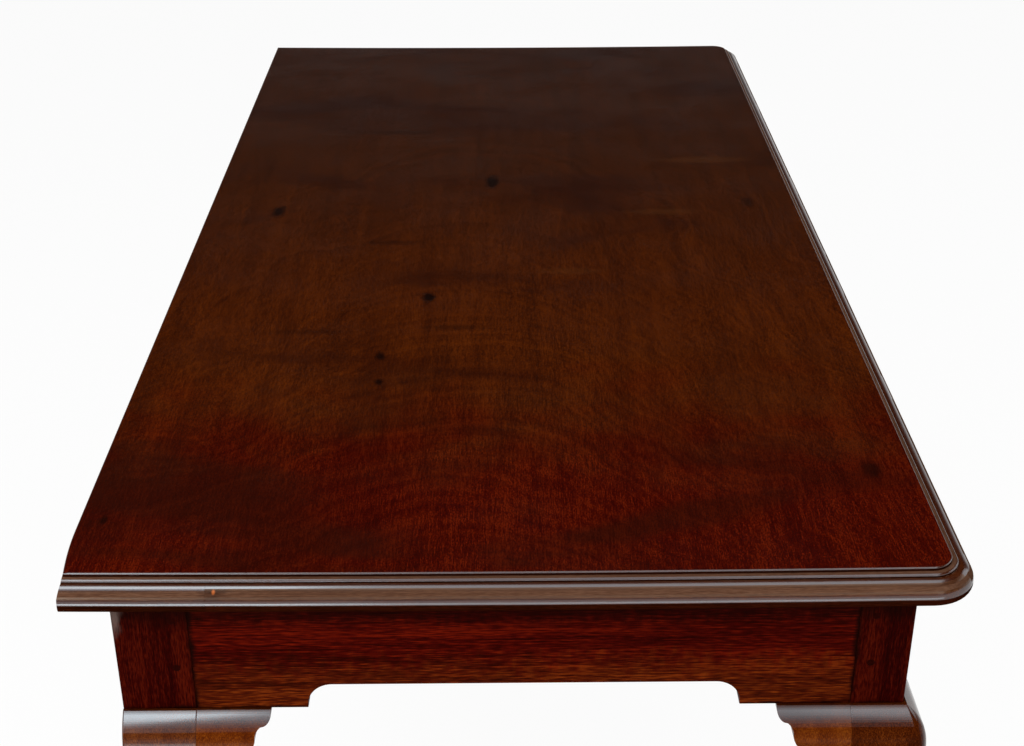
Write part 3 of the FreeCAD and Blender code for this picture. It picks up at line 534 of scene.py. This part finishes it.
field_wood = top_field()
under_wood = plain_mahogany("mahogany_underside", "XYZ", 59, UNDER_WOOD, 0.7, 0.2, WARM)

# Finishes of the moulding by the way a face looks: colours, roughness, specular level and tint. The
# colours are lit and shaded copies of one wood: the grey-brown ones are a painted sheen, and the
# darkest, on faces that look sideways or down, are painted shade
MOULDING_FINISHES_AND_PAINTED_LIGHT = {
    "polished": ((srgb(50, 17, 3), srgb(60, 24, 5), srgb(74, 34, 9)), 0.15, 1.0, COOL),
    "half_polished": ((srgb(56, 28, 14), srgb(68, 38, 20), srgb(82, 50, 30)), 0.22, 0.4, TAN),
    "hazy": ((srgb(67, 43, 31), srgb(82, 55, 40), srgb(97, 69, 53)), 0.35, 0.0, TAN),
    "dull": ((srgb(23, 5, 1), srgb(36, 10, 3), srgb(49, 15, 5)), 0.4, 0.0, WARM),
}
MOULDING_PITTING = 0.005 * MM
# Least part of a normal along Z or Y where a face is level or looks to the back
LEVEL_FACE = 0.99
BACK_FACE = 0.9
# Finish up to each angle at which a face of the moulding looks upwards, in degrees, with the painted
# sheen or painted shade that goes with it
STEP_LIMITS = {5: "dull", 88.5: "polished", 91: "hazy"}
END_LIMITS = {
    5: "dull",
    25: "polished",
    34: "half_polished",
    55: "hazy",
    66: "half_polished",
    91: "polished",
}
FRONT_LIMITS = {5: "dull", 20: "polished", 52: "hazy", 91: "polished"}
SPLICE_LIMITS = {
    5: "dull",
    25: "polished",
    34: "half_polished",
    53: "hazy",
    58: "half_polished",
    91: "polished",
}


def moulding_woods(run, axes, shift, marks=()):
    woods = []
    for finish, look in MOULDING_FINISHES_AND_PAINTED_LIGHT.items():
        name = f"mahogany_{run}_{finish}"
        woods.append(plain_mahogany(name, axes, shift, *look, pitting=MOULDING_PITTING, marks=marks))
    return woods


def cup(y):
    """How far the plank has sunk at a place across it."""
    return CUPPING * (1 - (y / TOP_HIGH.y) ** 2)


def sunk(polygon):
    """How far a face of the plank or its splice lies under the field."""
    return TOP_HIGH.z - cup(polygon.center.y) - polygon.center.z


def moulding_finish(polygon, limits):
    """Number of the look of a moulding's face by the angle it faces: glossier where hands and cloths rub
    what faces up and stands out, and with a painted sheen or painted shade in its colour for that angle.
    """
    height = math.degrees(math.asin(clamp(polygon.normal.z)))
    if sunk(polygon) < FIELD_DROP + FILLET_DROP:
        limits = STEP_LIMITS
    faces_back = polygon.normal.y > BACK_FACE
    # Faces that look to the back take a painted grey sheen
    finish = "hazy" if faces_back else next(limits[limit] for limit in limits if height < limit)
    return list(MOULDING_FINISHES_AND_PAINTED_LIGHT).index(finish)


splice_marks = (SPLICE_SMEAR, SPLICE_FILLING)
end_moulding = moulding_woods("end_moulding", "YXZ", 51, splice_marks)
front_moulding = moulding_woods("front_moulding", "XYZ", 55)
splice_moulding = moulding_woods("splice", "YXZ", 57, splice_marks)

end_joints = (("Y", FRONT_JOINT_Y), ("Y", BACK_JOINT_Y))
front_joints = (("X", -POST_INNER_X), ("X", POST_INNER_X))
shoulder = (("Z", RAIL_BOTTOM),)
# The rails carry painted shade under the overhang and grow paler and browner towards their lower edge
rail_marks = (OVERHANG_PAINTED_SHADE, LOWER_RAIL_TONE)
rails = {}
for run, axes, shift, joints in (("end", "YZX", 61, end_joints), ("front", "XZY", 71, front_joints)):
    look = (axes, shift, RAIL_WOOD, *FRAME_FINISH)
    name = f"mahogany_{run}_rail"
    rails[run] = plain_mahogany(name, *look, size=2, joints=joints + shoulder, marks=rail_marks)
post_joints = end_joints + front_joints + shoulder
# The posts carry painted shade under the overhang and a painted grey sheen on the back left post's worn
# corner
post_marks = (OVERHANG_PAINTED_SHADE, POST_WEAR_AND_SHEEN)
post_look = ("ZXY", 81, POST_WOOD, *FRAME_FINISH)
post_wood = plain_mahogany("mahogany_post", *post_look, joints=post_joints, marks=post_marks)

# Bands of the knees and brackets down to each drop below the rail, polished most where they are rubbed,
# with a painted shade on their colour near the rail
BAND_DROPS = tuple(drop * MM for drop in (0.5, 1.2, 2, 4, 5, 6, 7, 8.5, 10, 13, 18, 42))
POLISHED_PITTING = 0.002 * MM
KNEE_ROUGHNESS = 0.16
COOL_LEVEL = 0.1
# One band holds for all of a front side: where the ridge begins to turn to it, and over how much
SIDE_BAND = 8
RIDGE_START = 0.3
RIDGE_TURN = 0.55


def polish(drop, least):
    """Specular level of a knee at a drop below the rail, never under the least."""
    width = POLISH_ABOVE if drop < RUBBED_DROP else POLISH_BELOW
    return least + (1 - least) * math.exp(-(((drop - RUBBED_DROP) / width) ** 2))


def blended(first, second, share):
    """A palette between two others."""
    return [[a + (b - a) * share for a, b in zip(*pair)] for pair in zip(first, second)]


def band_woods(piece, shift, palette, least):
    woods = []
    for high, low in zip((0, *BAND_DROPS), BAND_DROPS):
        middle = (high + low) / 2
        level = polish(middle, least)
        # Near the rail the colour is a painted shade, darker than the wood below
        below = smooth_step(clamp((middle - PAINTED_SHADE_DROP) / PAINTED_SHADE_FADE))
        tint = COOL if level > COOL_LEVEL else WARM
        look = (blended(KNEE_TOP_PAINTED_SHADE, palette, below), KNEE_ROUGHNESS, level, tint)
        name = f"mahogany_{piece}_band_{len(woods)}"
        woods.append(plain_mahogany(name, "ZXY", shift, *look, pitting=POLISHED_PITTING))
    return woods


def band(polygon):
    """Number of the band that a face of a knee or bracket lies in."""
    level = sum(RAIL_BOTTOM - polygon.center.z > drop for drop in BAND_DROPS[:-1])
    turned = smooth_step(clamp((-polygon.normal.y - RIDGE_START) / RIDGE_TURN))
    return round(level + (SIDE_BAND - level) * turned)


knee_woods = {
    "front": band_woods("front_knee", 85, FRONT_KNEE_WOOD, least=0.02),
    "back": band_woods("back_knee", 87, BACK_KNEE_WOOD, least=0.22),
}
bracket_woods = band_woods("bracket", 91, BRACKET_WOOD, least=0.07)
oak_across = oak("oak_across", "YXZ", 101)
oak_along = oak("oak_along", "XZY", 111)
peg_wood = plain_mahogany("peg_end_grain", "XYZ", 121, PEG_WOOD, 0.45, 0.01, WARM)
screw_iron = iron()

# Top plank, with numbers of points along the stretches of its edge
SPLICE_POINTS = 24
END_POINTS = 54
CORNER_POINTS = 13
FRONT_POINTS = 120
BACK_POINTS = 40
WORN_POINTS = 16


def edge_profile():
    """The moulding as (projection from the field's edge, height from the field), from the field out."""
    thickness = TOP_HIGH.z - TOP_LOW.z
    shelf = -FIELD_DROP - FILLET_DROP
    points = arc((-FIELD_ARRIS, -FIELD_ARRIS), FIELD_ARRIS, 90, 0, 4)
    points.append((0, -FIELD_DROP))
    points += arc((FILLET_WIDTH - FILLET_ARRIS, -FIELD_DROP - FILLET_ARRIS), FILLET_ARRIS, 90, 0, 4)
    points.append((FILLET_WIDTH, shelf))
    points += arc((EDGE_PROJECTION - OVOLO_RADIUS, shelf - OVOLO_RADIUS), OVOLO_RADIUS, 90, 0, 20)
    points += arc((EDGE_PROJECTION - UNDER_RADIUS, UNDER_RADIUS - thickness), UNDER_RADIUS, 0, -90, 8)
    return points


def hand_wave(place):
    """How far a hand-planed edge falls short of true at a place along it."""
    swing = sum(share * math.sin(place * pace + start) for pace, start, share in HAND_STROKES)
    return HAND_WAVE * (swing / 2 - 1)


def edge_path():
    """Places round the field's edge: x, y, the way the edge faces, its mitre, and if it is cut back.

    They run from the back left corner along the left end, the front, the right end and the back.
    """
    field_end = TOP_HIGH.x - EDGE_PROJECTION
    field_front = TOP_LOW.y + EDGE_PROJECTION
    end, front = field_end - FIELD_CORNER, field_front + FIELD_CORNER
    back, notch = TOP_HIGH.y, TOP_HIGH.y - SPLICE_LENGTH
    path = [(-field_end, y, (-1, 0), (-1, 0), True) for y in spread(back, notch, SPLICE_POINTS)]
    path += [(-field_end, y, (-1, 0), (-1, 0), False) for y in spread(notch, front, END_POINTS)]
    path[0] = (-field_end, back, (-1, 0), (-1, 1), True)
    turn = [math.radians(angle) for angle in spread(180, 270, CORNER_POINTS)[1:-1]]
    facings = [(math.cos(angle), math.sin(angle)) for angle in turn]
    for facing in facings:
        spot = (FIELD_CORNER * facing[0] - end, FIELD_CORNER * facing[1] + front)
        path.append((*spot, facing, facing, False))
    left = list(path)
    path += [(x, field_front, (0, -1), (0, -1), False) for x in spread(-end, end, FRONT_POINTS)]
    for x, y, facing, mitre, _ in reversed(left):
        path.append((-x, y, (-facing[0], facing[1]), (-mitre[0], mitre[1]), False))
    worn_start = WORN_LENGTH - field_end
    back_places = spread(field_end, worn_start, BACK_POINTS)[1:-1]
    back_places += spread(worn_start, -field_end, WORN_POINTS)[:-1]
    path += [(x, back, (0, 0), (0, 1), False) for x in back_places]
    return path, len(left)


def field_strips(ends, count):
    """Faces that span a ring round the plank in strips, so that the plank can be cupped.

    The ring has so many points at each end, and the points at one end face those at the other.
    """
    last = 2 * ends + FRONT_POINTS - 1
    strips = [(k, k + 1, last - k - 1, last - k) for k in range(1, ends - 1)]
    front_strip = tuple(range(ends - 1, last - ends + 2))
    back_strip = (1, last - 1, *range(last, count), 0)
    return [back_strip, *strips, front_strip]


def aged(x, y, z):
    """A point of the top, moved by the plank's cupping and by the wear of its back left corner."""
    field_end = TOP_LOW.x + EDGE_PROJECTION
    near_end = clamp((field_end + WORN_LENGTH - x) / WORN_LENGTH)
    near_back = clamp((y - TOP_HIGH.y + WORN_LENGTH) / WORN_LENGTH)
    high = clamp((z - TOP_HIGH.z + OVOLO_RADIUS) / OVOLO_RADIUS)
    raised = WORN_BELOW + (1 - WORN_BELOW) * high
    worn = WORN_DEPTH * near_end**2 * near_back**2 * raised
    return x, y - worn, z - cup(y)


def edge_section(x, y, facing, mitre, profile):
    """A profile stood up at a place on the field's edge."""
    short = hand_wave(x + y) / EDGE_PROJECTION
    section = []
    for out, height in profile:
        way = facing if out > 0 else mitre
        reach = out + short * max(0, out)
        section.append(aged(x + way[0] * reach, y + way[1] * reach, TOP_HIGH.z + height))
    return section


def top_shape():
    profile = edge_profile()
    limit = EDGE_PROJECTION - SPLICE_DEPTH
    spliced = [(min(out, limit), height) for out, height in profile]
    path, ends = edge_path()
    sections = [edge_section(*place[:4], spliced if place[4] else profile) for place in path]
    # The rings of the moulding run round the plank, from the field outwards and under
    vertices, faces = skin(list(zip(*sections)))
    strips = field_strips(ends, len(path))
    under = len(vertices) - len(path)
    return vertices, faces + strips + [tuple(n + under for n in strip) for strip in strips]


def splice_shape():
    """The let-in length of moulding at the back left corner."""
    limit = EDGE_PROJECTION - SPLICE_DEPTH + SPLICE_GAP
    profile = [point for point in edge_profile() if point[0] > limit]
    shelf = -FIELD_DROP - FILLET_DROP - SPLICE_GAP
    profile = [(limit, shelf), *profile, (limit, profile[-1][1])]
    field_end = TOP_LOW.x + EDGE_PROJECTION
    places = spread(TOP_HIGH.y - SPLICE_LENGTH + SPLICE_GAP, TOP_HIGH.y, SPLICE_POINTS)
    return loft([edge_section(field_end, y, (-1, 0), (-1, 0), profile) for y in places])


top_woods = (field_wood, under_wood, *end_moulding, *front_moulding)
# Faces further out than this belong to the moulding of an end
end_start = TOP_HIGH.x - EDGE_PROJECTION - 1.5 * FIELD_ARRIS
top = add_piece("top", top_shape(), top_woods)
for polygon in top.data.polygons:
    if polygon.normal.z > LEVEL_FACE and sunk(polygon) < FIELD_DROP / 2:
        polygon.material_index = 0
    elif polygon.normal.z < -LEVEL_FACE:
        polygon.material_index = 1
    else:
        at_end = abs(polygon.center.x) > end_start
        first, limits = (2, END_LIMITS) if at_end else (2 + len(end_moulding), FRONT_LIMITS)
        polygon.material_index = first + moulding_finish(polygon, limits)
splice = add_piece("edge_splice", splice_shape(), splice_moulding)
for polygon in splice.data.polygons:
    polygon.material_index = moulding_finish(polygon, SPLICE_LIMITS)

# Frieze rails


def rail_outline(start, end):
    """A shaped rail's face as (place along it, height)."""
    low, high = start + CUTOUT_MARGIN, end - CUTOUT_MARGIN
    crown = RAIL_BOTTOM + CUTOUT_DEPTH
    spring = crown - CUTOUT_RADIUS
    outline = [(start, RAIL_TOP), (start, RAIL_BOTTOM), (low, RAIL_BOTTOM)]
    outline += arc((low + CUTOUT_RADIUS, spring), CUTOUT_RADIUS, 180, 90, 12)
    outline += arc((high - CUTOUT_RADIUS, spring), CUTOUT_RADIUS, 90, 0, 12)
    return outline + [(high, RAIL_BOTTOM), (end, RAIL_BOTTOM), (end, RAIL_TOP)]


end_outline = rail_outline(FRONT_JOINT_Y, BACK_JOINT_Y)
left_end = loft([[(-x, y, z) for y, z in end_outline] for x in (FRAME_X, END_INNER_X)])
front_outline = rail_outline(-POST_INNER_X, POST_INNER_X)
front = loft([[(x, y, z) for x, z in front_outline] for y in (FRONT_Y, FRONT_INNER_Y)])
add_piece("left_end_rail", left_end, (rails["end"],), arris=RAIL_ARRIS)
add_piece("right_end_rail", mirrored(left_end), (rails["end"],), arris=RAIL_ARRIS)
add_piece("front_rail", front, (rails["front"],), arris=RAIL_ARRIS)

# Cabriole legs, with numbers of sections down the knee, the shank and the spread of the foot
KNEE_SECTIONS = 25
KNEE_CROWDING = 1.8
SHANK_SECTIONS = 33
FOOT_SECTIONS = 15


def knee_reach(drop):
    """How far the knee stands out at a drop below the rail: a small step, then a full curve."""
    left = 1 - min(1, drop / KNEE_DROP)
    return SHOULDER_STEP + (KNEE_PROJECTION - SHOULDER_STEP) * (1 - left**KNEE_POWER)


def rounded_loop(low, high, radii, height):
    """A rectangle with four corner radii, from its low corner round, as a loop of points at a height."""
    (x0, y0), (x1, y1) = low, high
    corners = ((x0, y0, 1, 1, 180), (x1, y0, -1, 1, 270), (x1, y1, -1, -1, 0), (x0, y1, 1, -1, 90))
    loop = []
    for (x, y, across, along, start), radius in zip(corners, radii):
        centre = (x + across * radius, y + along * radius)
        loop += [(*point, height) for point in arc(centre, radius, start, start + 90, 8)]
    return loop


def leg_sections(back):
    """Sections from the post's top to the floor: height, faces along X and Y from the frame, radii."""
    depth = BACK_Y - BACK_JOINT_Y if back else FRONT_JOINT_Y - FRONT_Y
    width = FRAME_X - POST_INNER_X
    knee_ridge = BACK_RIDGE if back else FRONT_RIDGE
    sections = []
    for height in (RAIL_TOP, RAIL_BOTTOM):
        sections.append((height, (0, -width), (0, -depth), LEG_ARRIS, LEG_ARRIS))
    drops = [KNEE_DROP * share**KNEE_CROWDING for share in spread(0, 1, KNEE_SECTIONS)]
    for drop in sorted({*BAND_DROPS, *drops}):
        reach = knee_reach(drop)
        full = (reach - SHOULDER_STEP) / (KNEE_PROJECTION - SHOULDER_STEP)
        ridge = LEG_ARRIS + (knee_ridge - LEG_ARRIS) * full
        across_y = (0, -depth) if back else (reach, -depth)
        sections.append((RAIL_BOTTOM - drop, (reach, -width), across_y, ridge, LEG_ARRIS))
    blank_x = width + KNEE_PROJECTION
    blank_y = depth if back else depth + KNEE_PROJECTION
    setback_y = BACK_ANKLE_SETBACK if back else ANKLE_SETBACK
    for share in spread(0, 1, SHANK_SECTIONS):
        lean, thin = smooth_step(share), smooth_step(share**THINNING_POWER)
        outer_x = KNEE_PROJECTION * (1 - lean) - ANKLE_SETBACK * lean
        outer_y = -setback_y * lean if back else outer_x
        wide_x = blank_x * (1 - thin) + ANKLE_WIDTH * thin
        wide_y = blank_y * (1 - thin) + ANKLE_WIDTH * thin
        rounding = smooth_step(min(1, ROUNDING_PACE * share))
        ridge = knee_ridge * (1 - rounding) + wide_x * ROUND_SHARE * rounding
        arris = LEG_ARRIS * (1 - rounding) + wide_x * ROUND_SHARE * rounding
        height = KNEE_FOOT * (1 - share) + ANKLE_HEIGHT * share
        sections.append((height, (outer_x, outer_x - wide_x), (outer_y, outer_y - wide_y), ridge, arris))
    foot_y = BACK_FOOT_SETBACK if back else FOOT_SETBACK
    for share in spread(0, 1, FOOT_SECTIONS)[1:]:
        shift, swell = smooth_step(share), share**SPREAD_POWER
        wide = ANKLE_WIDTH * (1 - swell) + FOOT_DIAMETER * swell
        faces = []
        for setback, foot in ((ANKLE_SETBACK, FOOT_SETBACK), (setback_y, foot_y)):
            middle = -(setback + ANKLE_WIDTH / 2) * (1 - shift) - foot * shift
            faces.append((middle + wide / 2, middle - wide / 2))
        height = ANKLE_HEIGHT * (1 - share) + FOOT_HEIGHT * share
        sections.append((height, *faces, wide * ROUND_SHARE, wide * ROUND_SHARE))
    for radius, height in pad_profile():
        faces = [(radius - foot, -radius - foot) for foot in (FOOT_SETBACK, foot_y)]
        sections.append((height, *faces, radius, radius))
    return sections


def pad_profile():
    """The turned pad foot as (radius, height), from its swollen rim down to its flat."""
    start = (FOOT_DIAMETER / 2 + FOOT_LIP, FOOT_HEIGHT)
    end = (PAD_DIAMETER / 2, PAD_HEIGHT)
    middle = Vector(((start[0] + end[0]) / 2, (start[1] + end[1]) / 2))
    chord = Vector((end[0] - start[0], end[1] - start[1]))
    rise = math.sqrt(RIM_RADIUS**2 - (chord.length / 2) ** 2)
    centre = middle + Vector((chord.y, -chord.x)).normalized() * rise
    first = math.degrees(math.atan2(start[1] - centre.y, start[0] - centre.x))
    last = math.degrees(math.atan2(end[1] - centre.y, end[0] - centre.x))
    return arc(centre, RIM_RADIUS, first, last, 10) + [(PAD_DIAMETER / 2, 0)]


def left_leg(back):
    loops = []
    for height, (outer_x, inner_x), (outer_y, inner_y), ridge, arris in leg_sections(back):
        x_low, x_high = -FRAME_X - outer_x, -FRAME_X - inner_x
        if back:
            low, high = (x_low, BACK_Y + inner_y), (x_high, BACK_Y + outer_y)
            radii = (arris, arris, arris, ridge)
        else:
            low, high = (x_low, FRONT_Y - outer_y), (x_high, FRONT_Y - inner_y)
            radii = (ridge, arris, arris, arris)
        loops.append(rounded_loop(low, high, radii, height))
    return loft(loops)


for row, back in (("front", False), ("back", True)):
    leg = left_leg(back)
    for side, shape in (("left", leg), ("right", mirrored(leg))):
        name = f"{row}_{side}_leg"
        woods = (*knee_woods[row], post_wood)
        piece = add_piece(name, shape, woods, sharp_angle=50)
        for polygon in piece.data.polygons:
            in_post = polygon.center.z > RAIL_BOTTOM + 0.1 * MM
            polygon.material_index = len(BAND_DROPS) if in_post else band(polygon)

# Knee brackets, with numbers of points down the tip and each curve of the edge, and along the face
TIP_POINTS = 6
CURVE_POINTS = 15
FACE_POINTS = 24
FACE_CROWDING = 1.5


def arc_centre(start, end, radius):
    """Centre of the arc between two points: right of the way, or left of it for a radius below 0."""
    chord = Vector(end) - Vector(start)
    rise = math.copysign(math.sqrt(radius**2 - (chord.length / 2) ** 2), radius)
    return (Vector(start) + Vector(end)) / 2 + Vector((chord.y, -chord.x)).normalized() * rise


def bracket_edge():
    """The sawn edge of a bracket as (place along the rail, drop below it), from tip to toe."""
    edge = [(BRACKET_LENGTH, drop) for drop in spread(0, BRACKET_TIP, TIP_POINTS)]
    toe = (BRACKET_TOE, RAIL_BOTTOM - KNEE_FOOT)
    curves = []
    place = BRACKET_LENGTH
    for width, drop, radius in BRACKET_CURVES:
        place -= width
        curves.append(((place, drop), radius))
    for end, radius in (*curves, (toe, SWEEP_RADIUS)):
        start = edge[-1]
        # Drops count downwards, so a bulge away from the wood has its centre to the left
        centre = arc_centre(start, end, -radius)
        for drop in spread(start[1], end[1], CURVE_POINTS)[1:]:
            reach = math.sqrt(max(0, radius**2 - (drop - centre.y) ** 2))
            edge.append((centre.x + math.copysign(reach, radius), drop))
    return edge


def ledge(along, drop):
    """How far the carved lower part of a bracket stands proud at a place on its face."""
    below = drop - LEDGE_START[1] - LEDGE_SLOPE * (LEDGE_START[0] - along)
    return LEDGE_HEIGHT * smooth_step(clamp(below / LEDGE_WIDTH))


def bracket_shape(place):
    """A bracket, whose points go where place says: along the rail, out from its face, and down."""
    inner = -(FRAME_X - END_INNER_X)
    loops = []
    for edge, drop in bracket_edge():
        z = RAIL_BOTTOM - drop
        steps = [edge * (1 - (1 - share) ** FACE_CROWDING) for share in spread(0, 1, FACE_POINTS)]
        loop = [place(along, knee_reach(drop) + ledge(along, drop), z) for along in steps]
        loop += [place(along, inner, z) for along in reversed(steps)]
        loops.append(loop)
    return loft(loops)


brackets = {
    "front_{}_front_bracket": lambda along, out, z: (-POST_INNER_X + along, FRONT_Y - out, z),
    "front_{}_end_bracket": lambda along, out, z: (-FRAME_X - out, FRONT_JOINT_Y + along, z),
    "back_{}_end_bracket": lambda along, out, z: (-FRAME_X - out, BACK_JOINT_Y - along, z),
}
for label, place in brackets.items():
    bracket = bracket_shape(place)
    for side, shape in (("left", bracket), ("right", mirrored(bracket))):
        name = label.format(side)
        piece = add_piece(name, shape, bracket_woods, arris=BRACKET_ARRIS)
        for polygon in piece.data.polygons:
            polygon.material_index = band(polygon)

# Pegs through the tenons, with heads that stand a little proud


def peg_shape(centre, outward):
    """One peg: its end is at a centre on the post's face and its head swells outwards."""
    up = Vector((0, 0, 1))
    side = outward.cross(up)
    shares = ((1, -PEG_LENGTH), (1, 0), (0.92, 0.45 * PEG_DOME), (0.7, 0.8 * PEG_DOME), (0.35, PEG_DOME))
    loops = []
    for share, height in shares:
        circle = arc((0, 0), PEG_RADIUS * share, 0, 360 - 360 / PEG_SIDES, PEG_SIDES - 1)
        loops.append([centre + outward * height + side * a + up * b for a, b in circle])
    return loft(loops)


def all_pegs():
    places = []
    for way in (-1, 1):
        for drop in (PEG_DROP, RAIL_TOP - RAIL_BOTTOM - PEG_RISE):
            height = RAIL_TOP - drop
            for y in (FRONT_JOINT_Y - PEG_INSET, BACK_JOINT_Y + PEG_INSET):
                places.append((Vector((way * FRAME_X, y, height)), Vector((way, 0, 0))))
            x = way * (POST_INNER_X + PEG_INSET)
            for y, facing in ((FRONT_Y, -1), (BACK_Y, 1)):
                places.append((Vector((x, y, height - PEG_STAGGER)), Vector((0, facing, 0))))
    vertices, faces = [], []
    for centre, outward in places:
        points, sides = peg_shape(centre, outward)
        faces += [tuple(n + len(vertices) for n in side) for side in sides]
        vertices += points
    return vertices, faces


add_piece("tenon_pegs", all_pegs(), (peg_wood,))

# Inner woodwork and screws keep the shapes of the frame
inner_wood = {
    "back_rail": oak_along,
    "left_cross_bearer": oak_across,
    "right_cross_bearer": oak_across,
    "top_screws": screw_iron,
}
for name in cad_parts:
    if name.endswith("glue_block"):
        inner_wood[name] = oak_across if name.split("_")[1] == "end" else oak_along
for name, material in inner_wood.items():
    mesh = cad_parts[name].data
    mesh.materials.clear()
    mesh.materials.append(material)

# Studio
FLOOR_GLOW = 0.95
FLOOR_REACH = 60
# Brightness of the studio up to the zenith: height from 0 to 1, and level
DOME_LEVELS = ((0.06, 1), (0.22, 0.034), (0.4, 0.006), (0.8, 0.006), (0.95, 0.4))
# Lamps: centre, target, width, height and radiance
SOFTBOXES = {
    "overhead": ((-0.03, 0, 2.9), (-0.03, 0, 0), 1.55, 2.4, 1.9),
    "overhead_left": ((0.05, 0.7, 2.85), (0.05, 0.7, 0), 0.85, 0.65, 4.5),
    "near_fill": ((-1.95, 0, 1.95), (-0.7, 0, 0.6), 2.8, 1.7, 1.6),
    "near_left": ((-1.85, 0.93, 1.82), (-0.7, 0.3, 0.6), 0.55, 1.6, 6.5),
    "near_right": ((-1.85, -0.93, 1.82), (-0.7, -0.3, 0.6), 0.55, 1.6, 0.9),
    "low_strip": ((-2.6, 0.1, 0.22), (-0.7, 0, 0.74), 3.4, 0.36, 2.6),
    "low_left": ((-2.58, 0.62, 0.24), (-0.7, 0.2, 0.74), 0.67, 0.36, 4),
    "front_side": ((0.3, -3.2, 2.2), (0, 0, 0.5), 3, 1.6, 1.7),
    "back_side": ((0, 3.4, 2.0), (0, 0, 0.5), 3, 1.6, 0.8),
}


def add_floor():
    graph = Graph(bpy.data.materials.new("pale_floor"))
    space = graph.space("XYZ")
    grain = graph.noise(space, (40, 40, 40), 0, detail=3)
    path = graph.node("ShaderNodeLightPath").outputs
    seen = graph.math("MAXIMUM", path["Is Camera Ray"], path["Is Glossy Ray"])
    seen = graph.math("MAXIMUM", seen, path["Is Transmission Ray"])
    shades = graph.ramp(grain, [(0, srgb(246, 246, 246)), (1, srgb(252, 252, 252))])
    pale = graph.node("ShaderNodeBsdfDiffuse", {"Color": shades})
    white = graph.node("ShaderNodeEmission", {"Color": (1, 1, 1, 1), "Strength": 1})
    share = graph.math("MULTIPLY", seen, FLOOR_GLOW)
    blend = graph.node("ShaderNodeMixShader", {0: share, 1: pale.outputs[0], 2: white.outputs[0]})
    out = graph.node("ShaderNodeOutputMaterial")
    graph.feed(out.inputs["Surface"], blend.outputs[0])
    mesh = bpy.data.meshes.new("floor")
    corners = [(x * FLOOR_REACH, y * FLOOR_REACH, 0) for x, y in ((-1, -1), (1, -1), (1, 1), (-1, 1))]
    mesh.from_pydata(corners, [], [(0, 1, 2, 3)])
    mesh.materials.append(graph.owner)
    floor = bpy.data.objects.new("floor", mesh)
    bpy.context.collection.objects.link(floor)


def add_world():
    """A studio that is white at the horizon, dark above it and pale overhead."""
    graph = Graph(bpy.data.worlds.new("studio"))
    place = graph.node("ShaderNodeTexCoord").outputs["Generated"]
    stops = [(height, (level, level, level, 1)) for height, level in DOME_LEVELS]
    glow = graph.ramp(graph.split(place)[2], stops)
    background = graph.node("ShaderNodeBackground", {"Color": glow})
    graph.node("ShaderNodeOutputWorld", {"Surface": background.outputs[0]})
    bpy.context.scene.world = graph.owner


def add_softbox(name, centre, target, width, height, radiance):
    """A flat lamp that faces a target and looks as bright as its radiance, where 1 is white."""
    data = bpy.data.lights.new(name, "AREA")
    data.shape = "RECTANGLE"
    data.size = width
    data.size_y = height
    data.energy = radiance * math.pi * width * height
    lamp = bpy.data.objects.new(name, data)
    lamp.location = centre
    lamp.rotation_euler = (Vector(target) - Vector(centre)).to_track_quat("-Z", "Y").to_euler()
    lamp.visible_camera = False
    bpy.context.collection.objects.link(lamp)


def add_camera():
    data = bpy.data.cameras.new("camera")
    data.sensor_fit = "HORIZONTAL"
    data.sensor_width = SENSOR_WIDTH
    data.lens = FOCAL_PIXELS * SENSOR_WIDTH / IMAGE_WIDTH
    flat = math.cos(CAMERA_PITCH)
    forward = Vector((flat * math.cos(CAMERA_YAW), flat * math.sin(CAMERA_YAW), -math.sin(CAMERA_PITCH)))
    right = Vector((math.sin(CAMERA_YAW), -math.cos(CAMERA_YAW), 0))
    down = forward.cross(right)
    rolled_right = math.cos(CAMERA_ROLL) * right + math.sin(CAMERA_ROLL) * down
    rolled_down = math.cos(CAMERA_ROLL) * down - math.sin(CAMERA_ROLL) * right
    camera = bpy.data.objects.new("camera", data)
    turn = Matrix((rolled_right, -rolled_down, -forward)).transposed()
    camera.matrix_world = Matrix.Translation(CAMERA_PLACE) @ turn.to_4x4()
    bpy.context.collection.objects.link(camera)
    bpy.context.scene.camera = camera


add_floor()
add_world()
for name, setting in SOFTBOXES.items():
    add_softbox(name, *setting)
add_camera()
bpy.context.scene.view_settings.view_transform = "Standard"
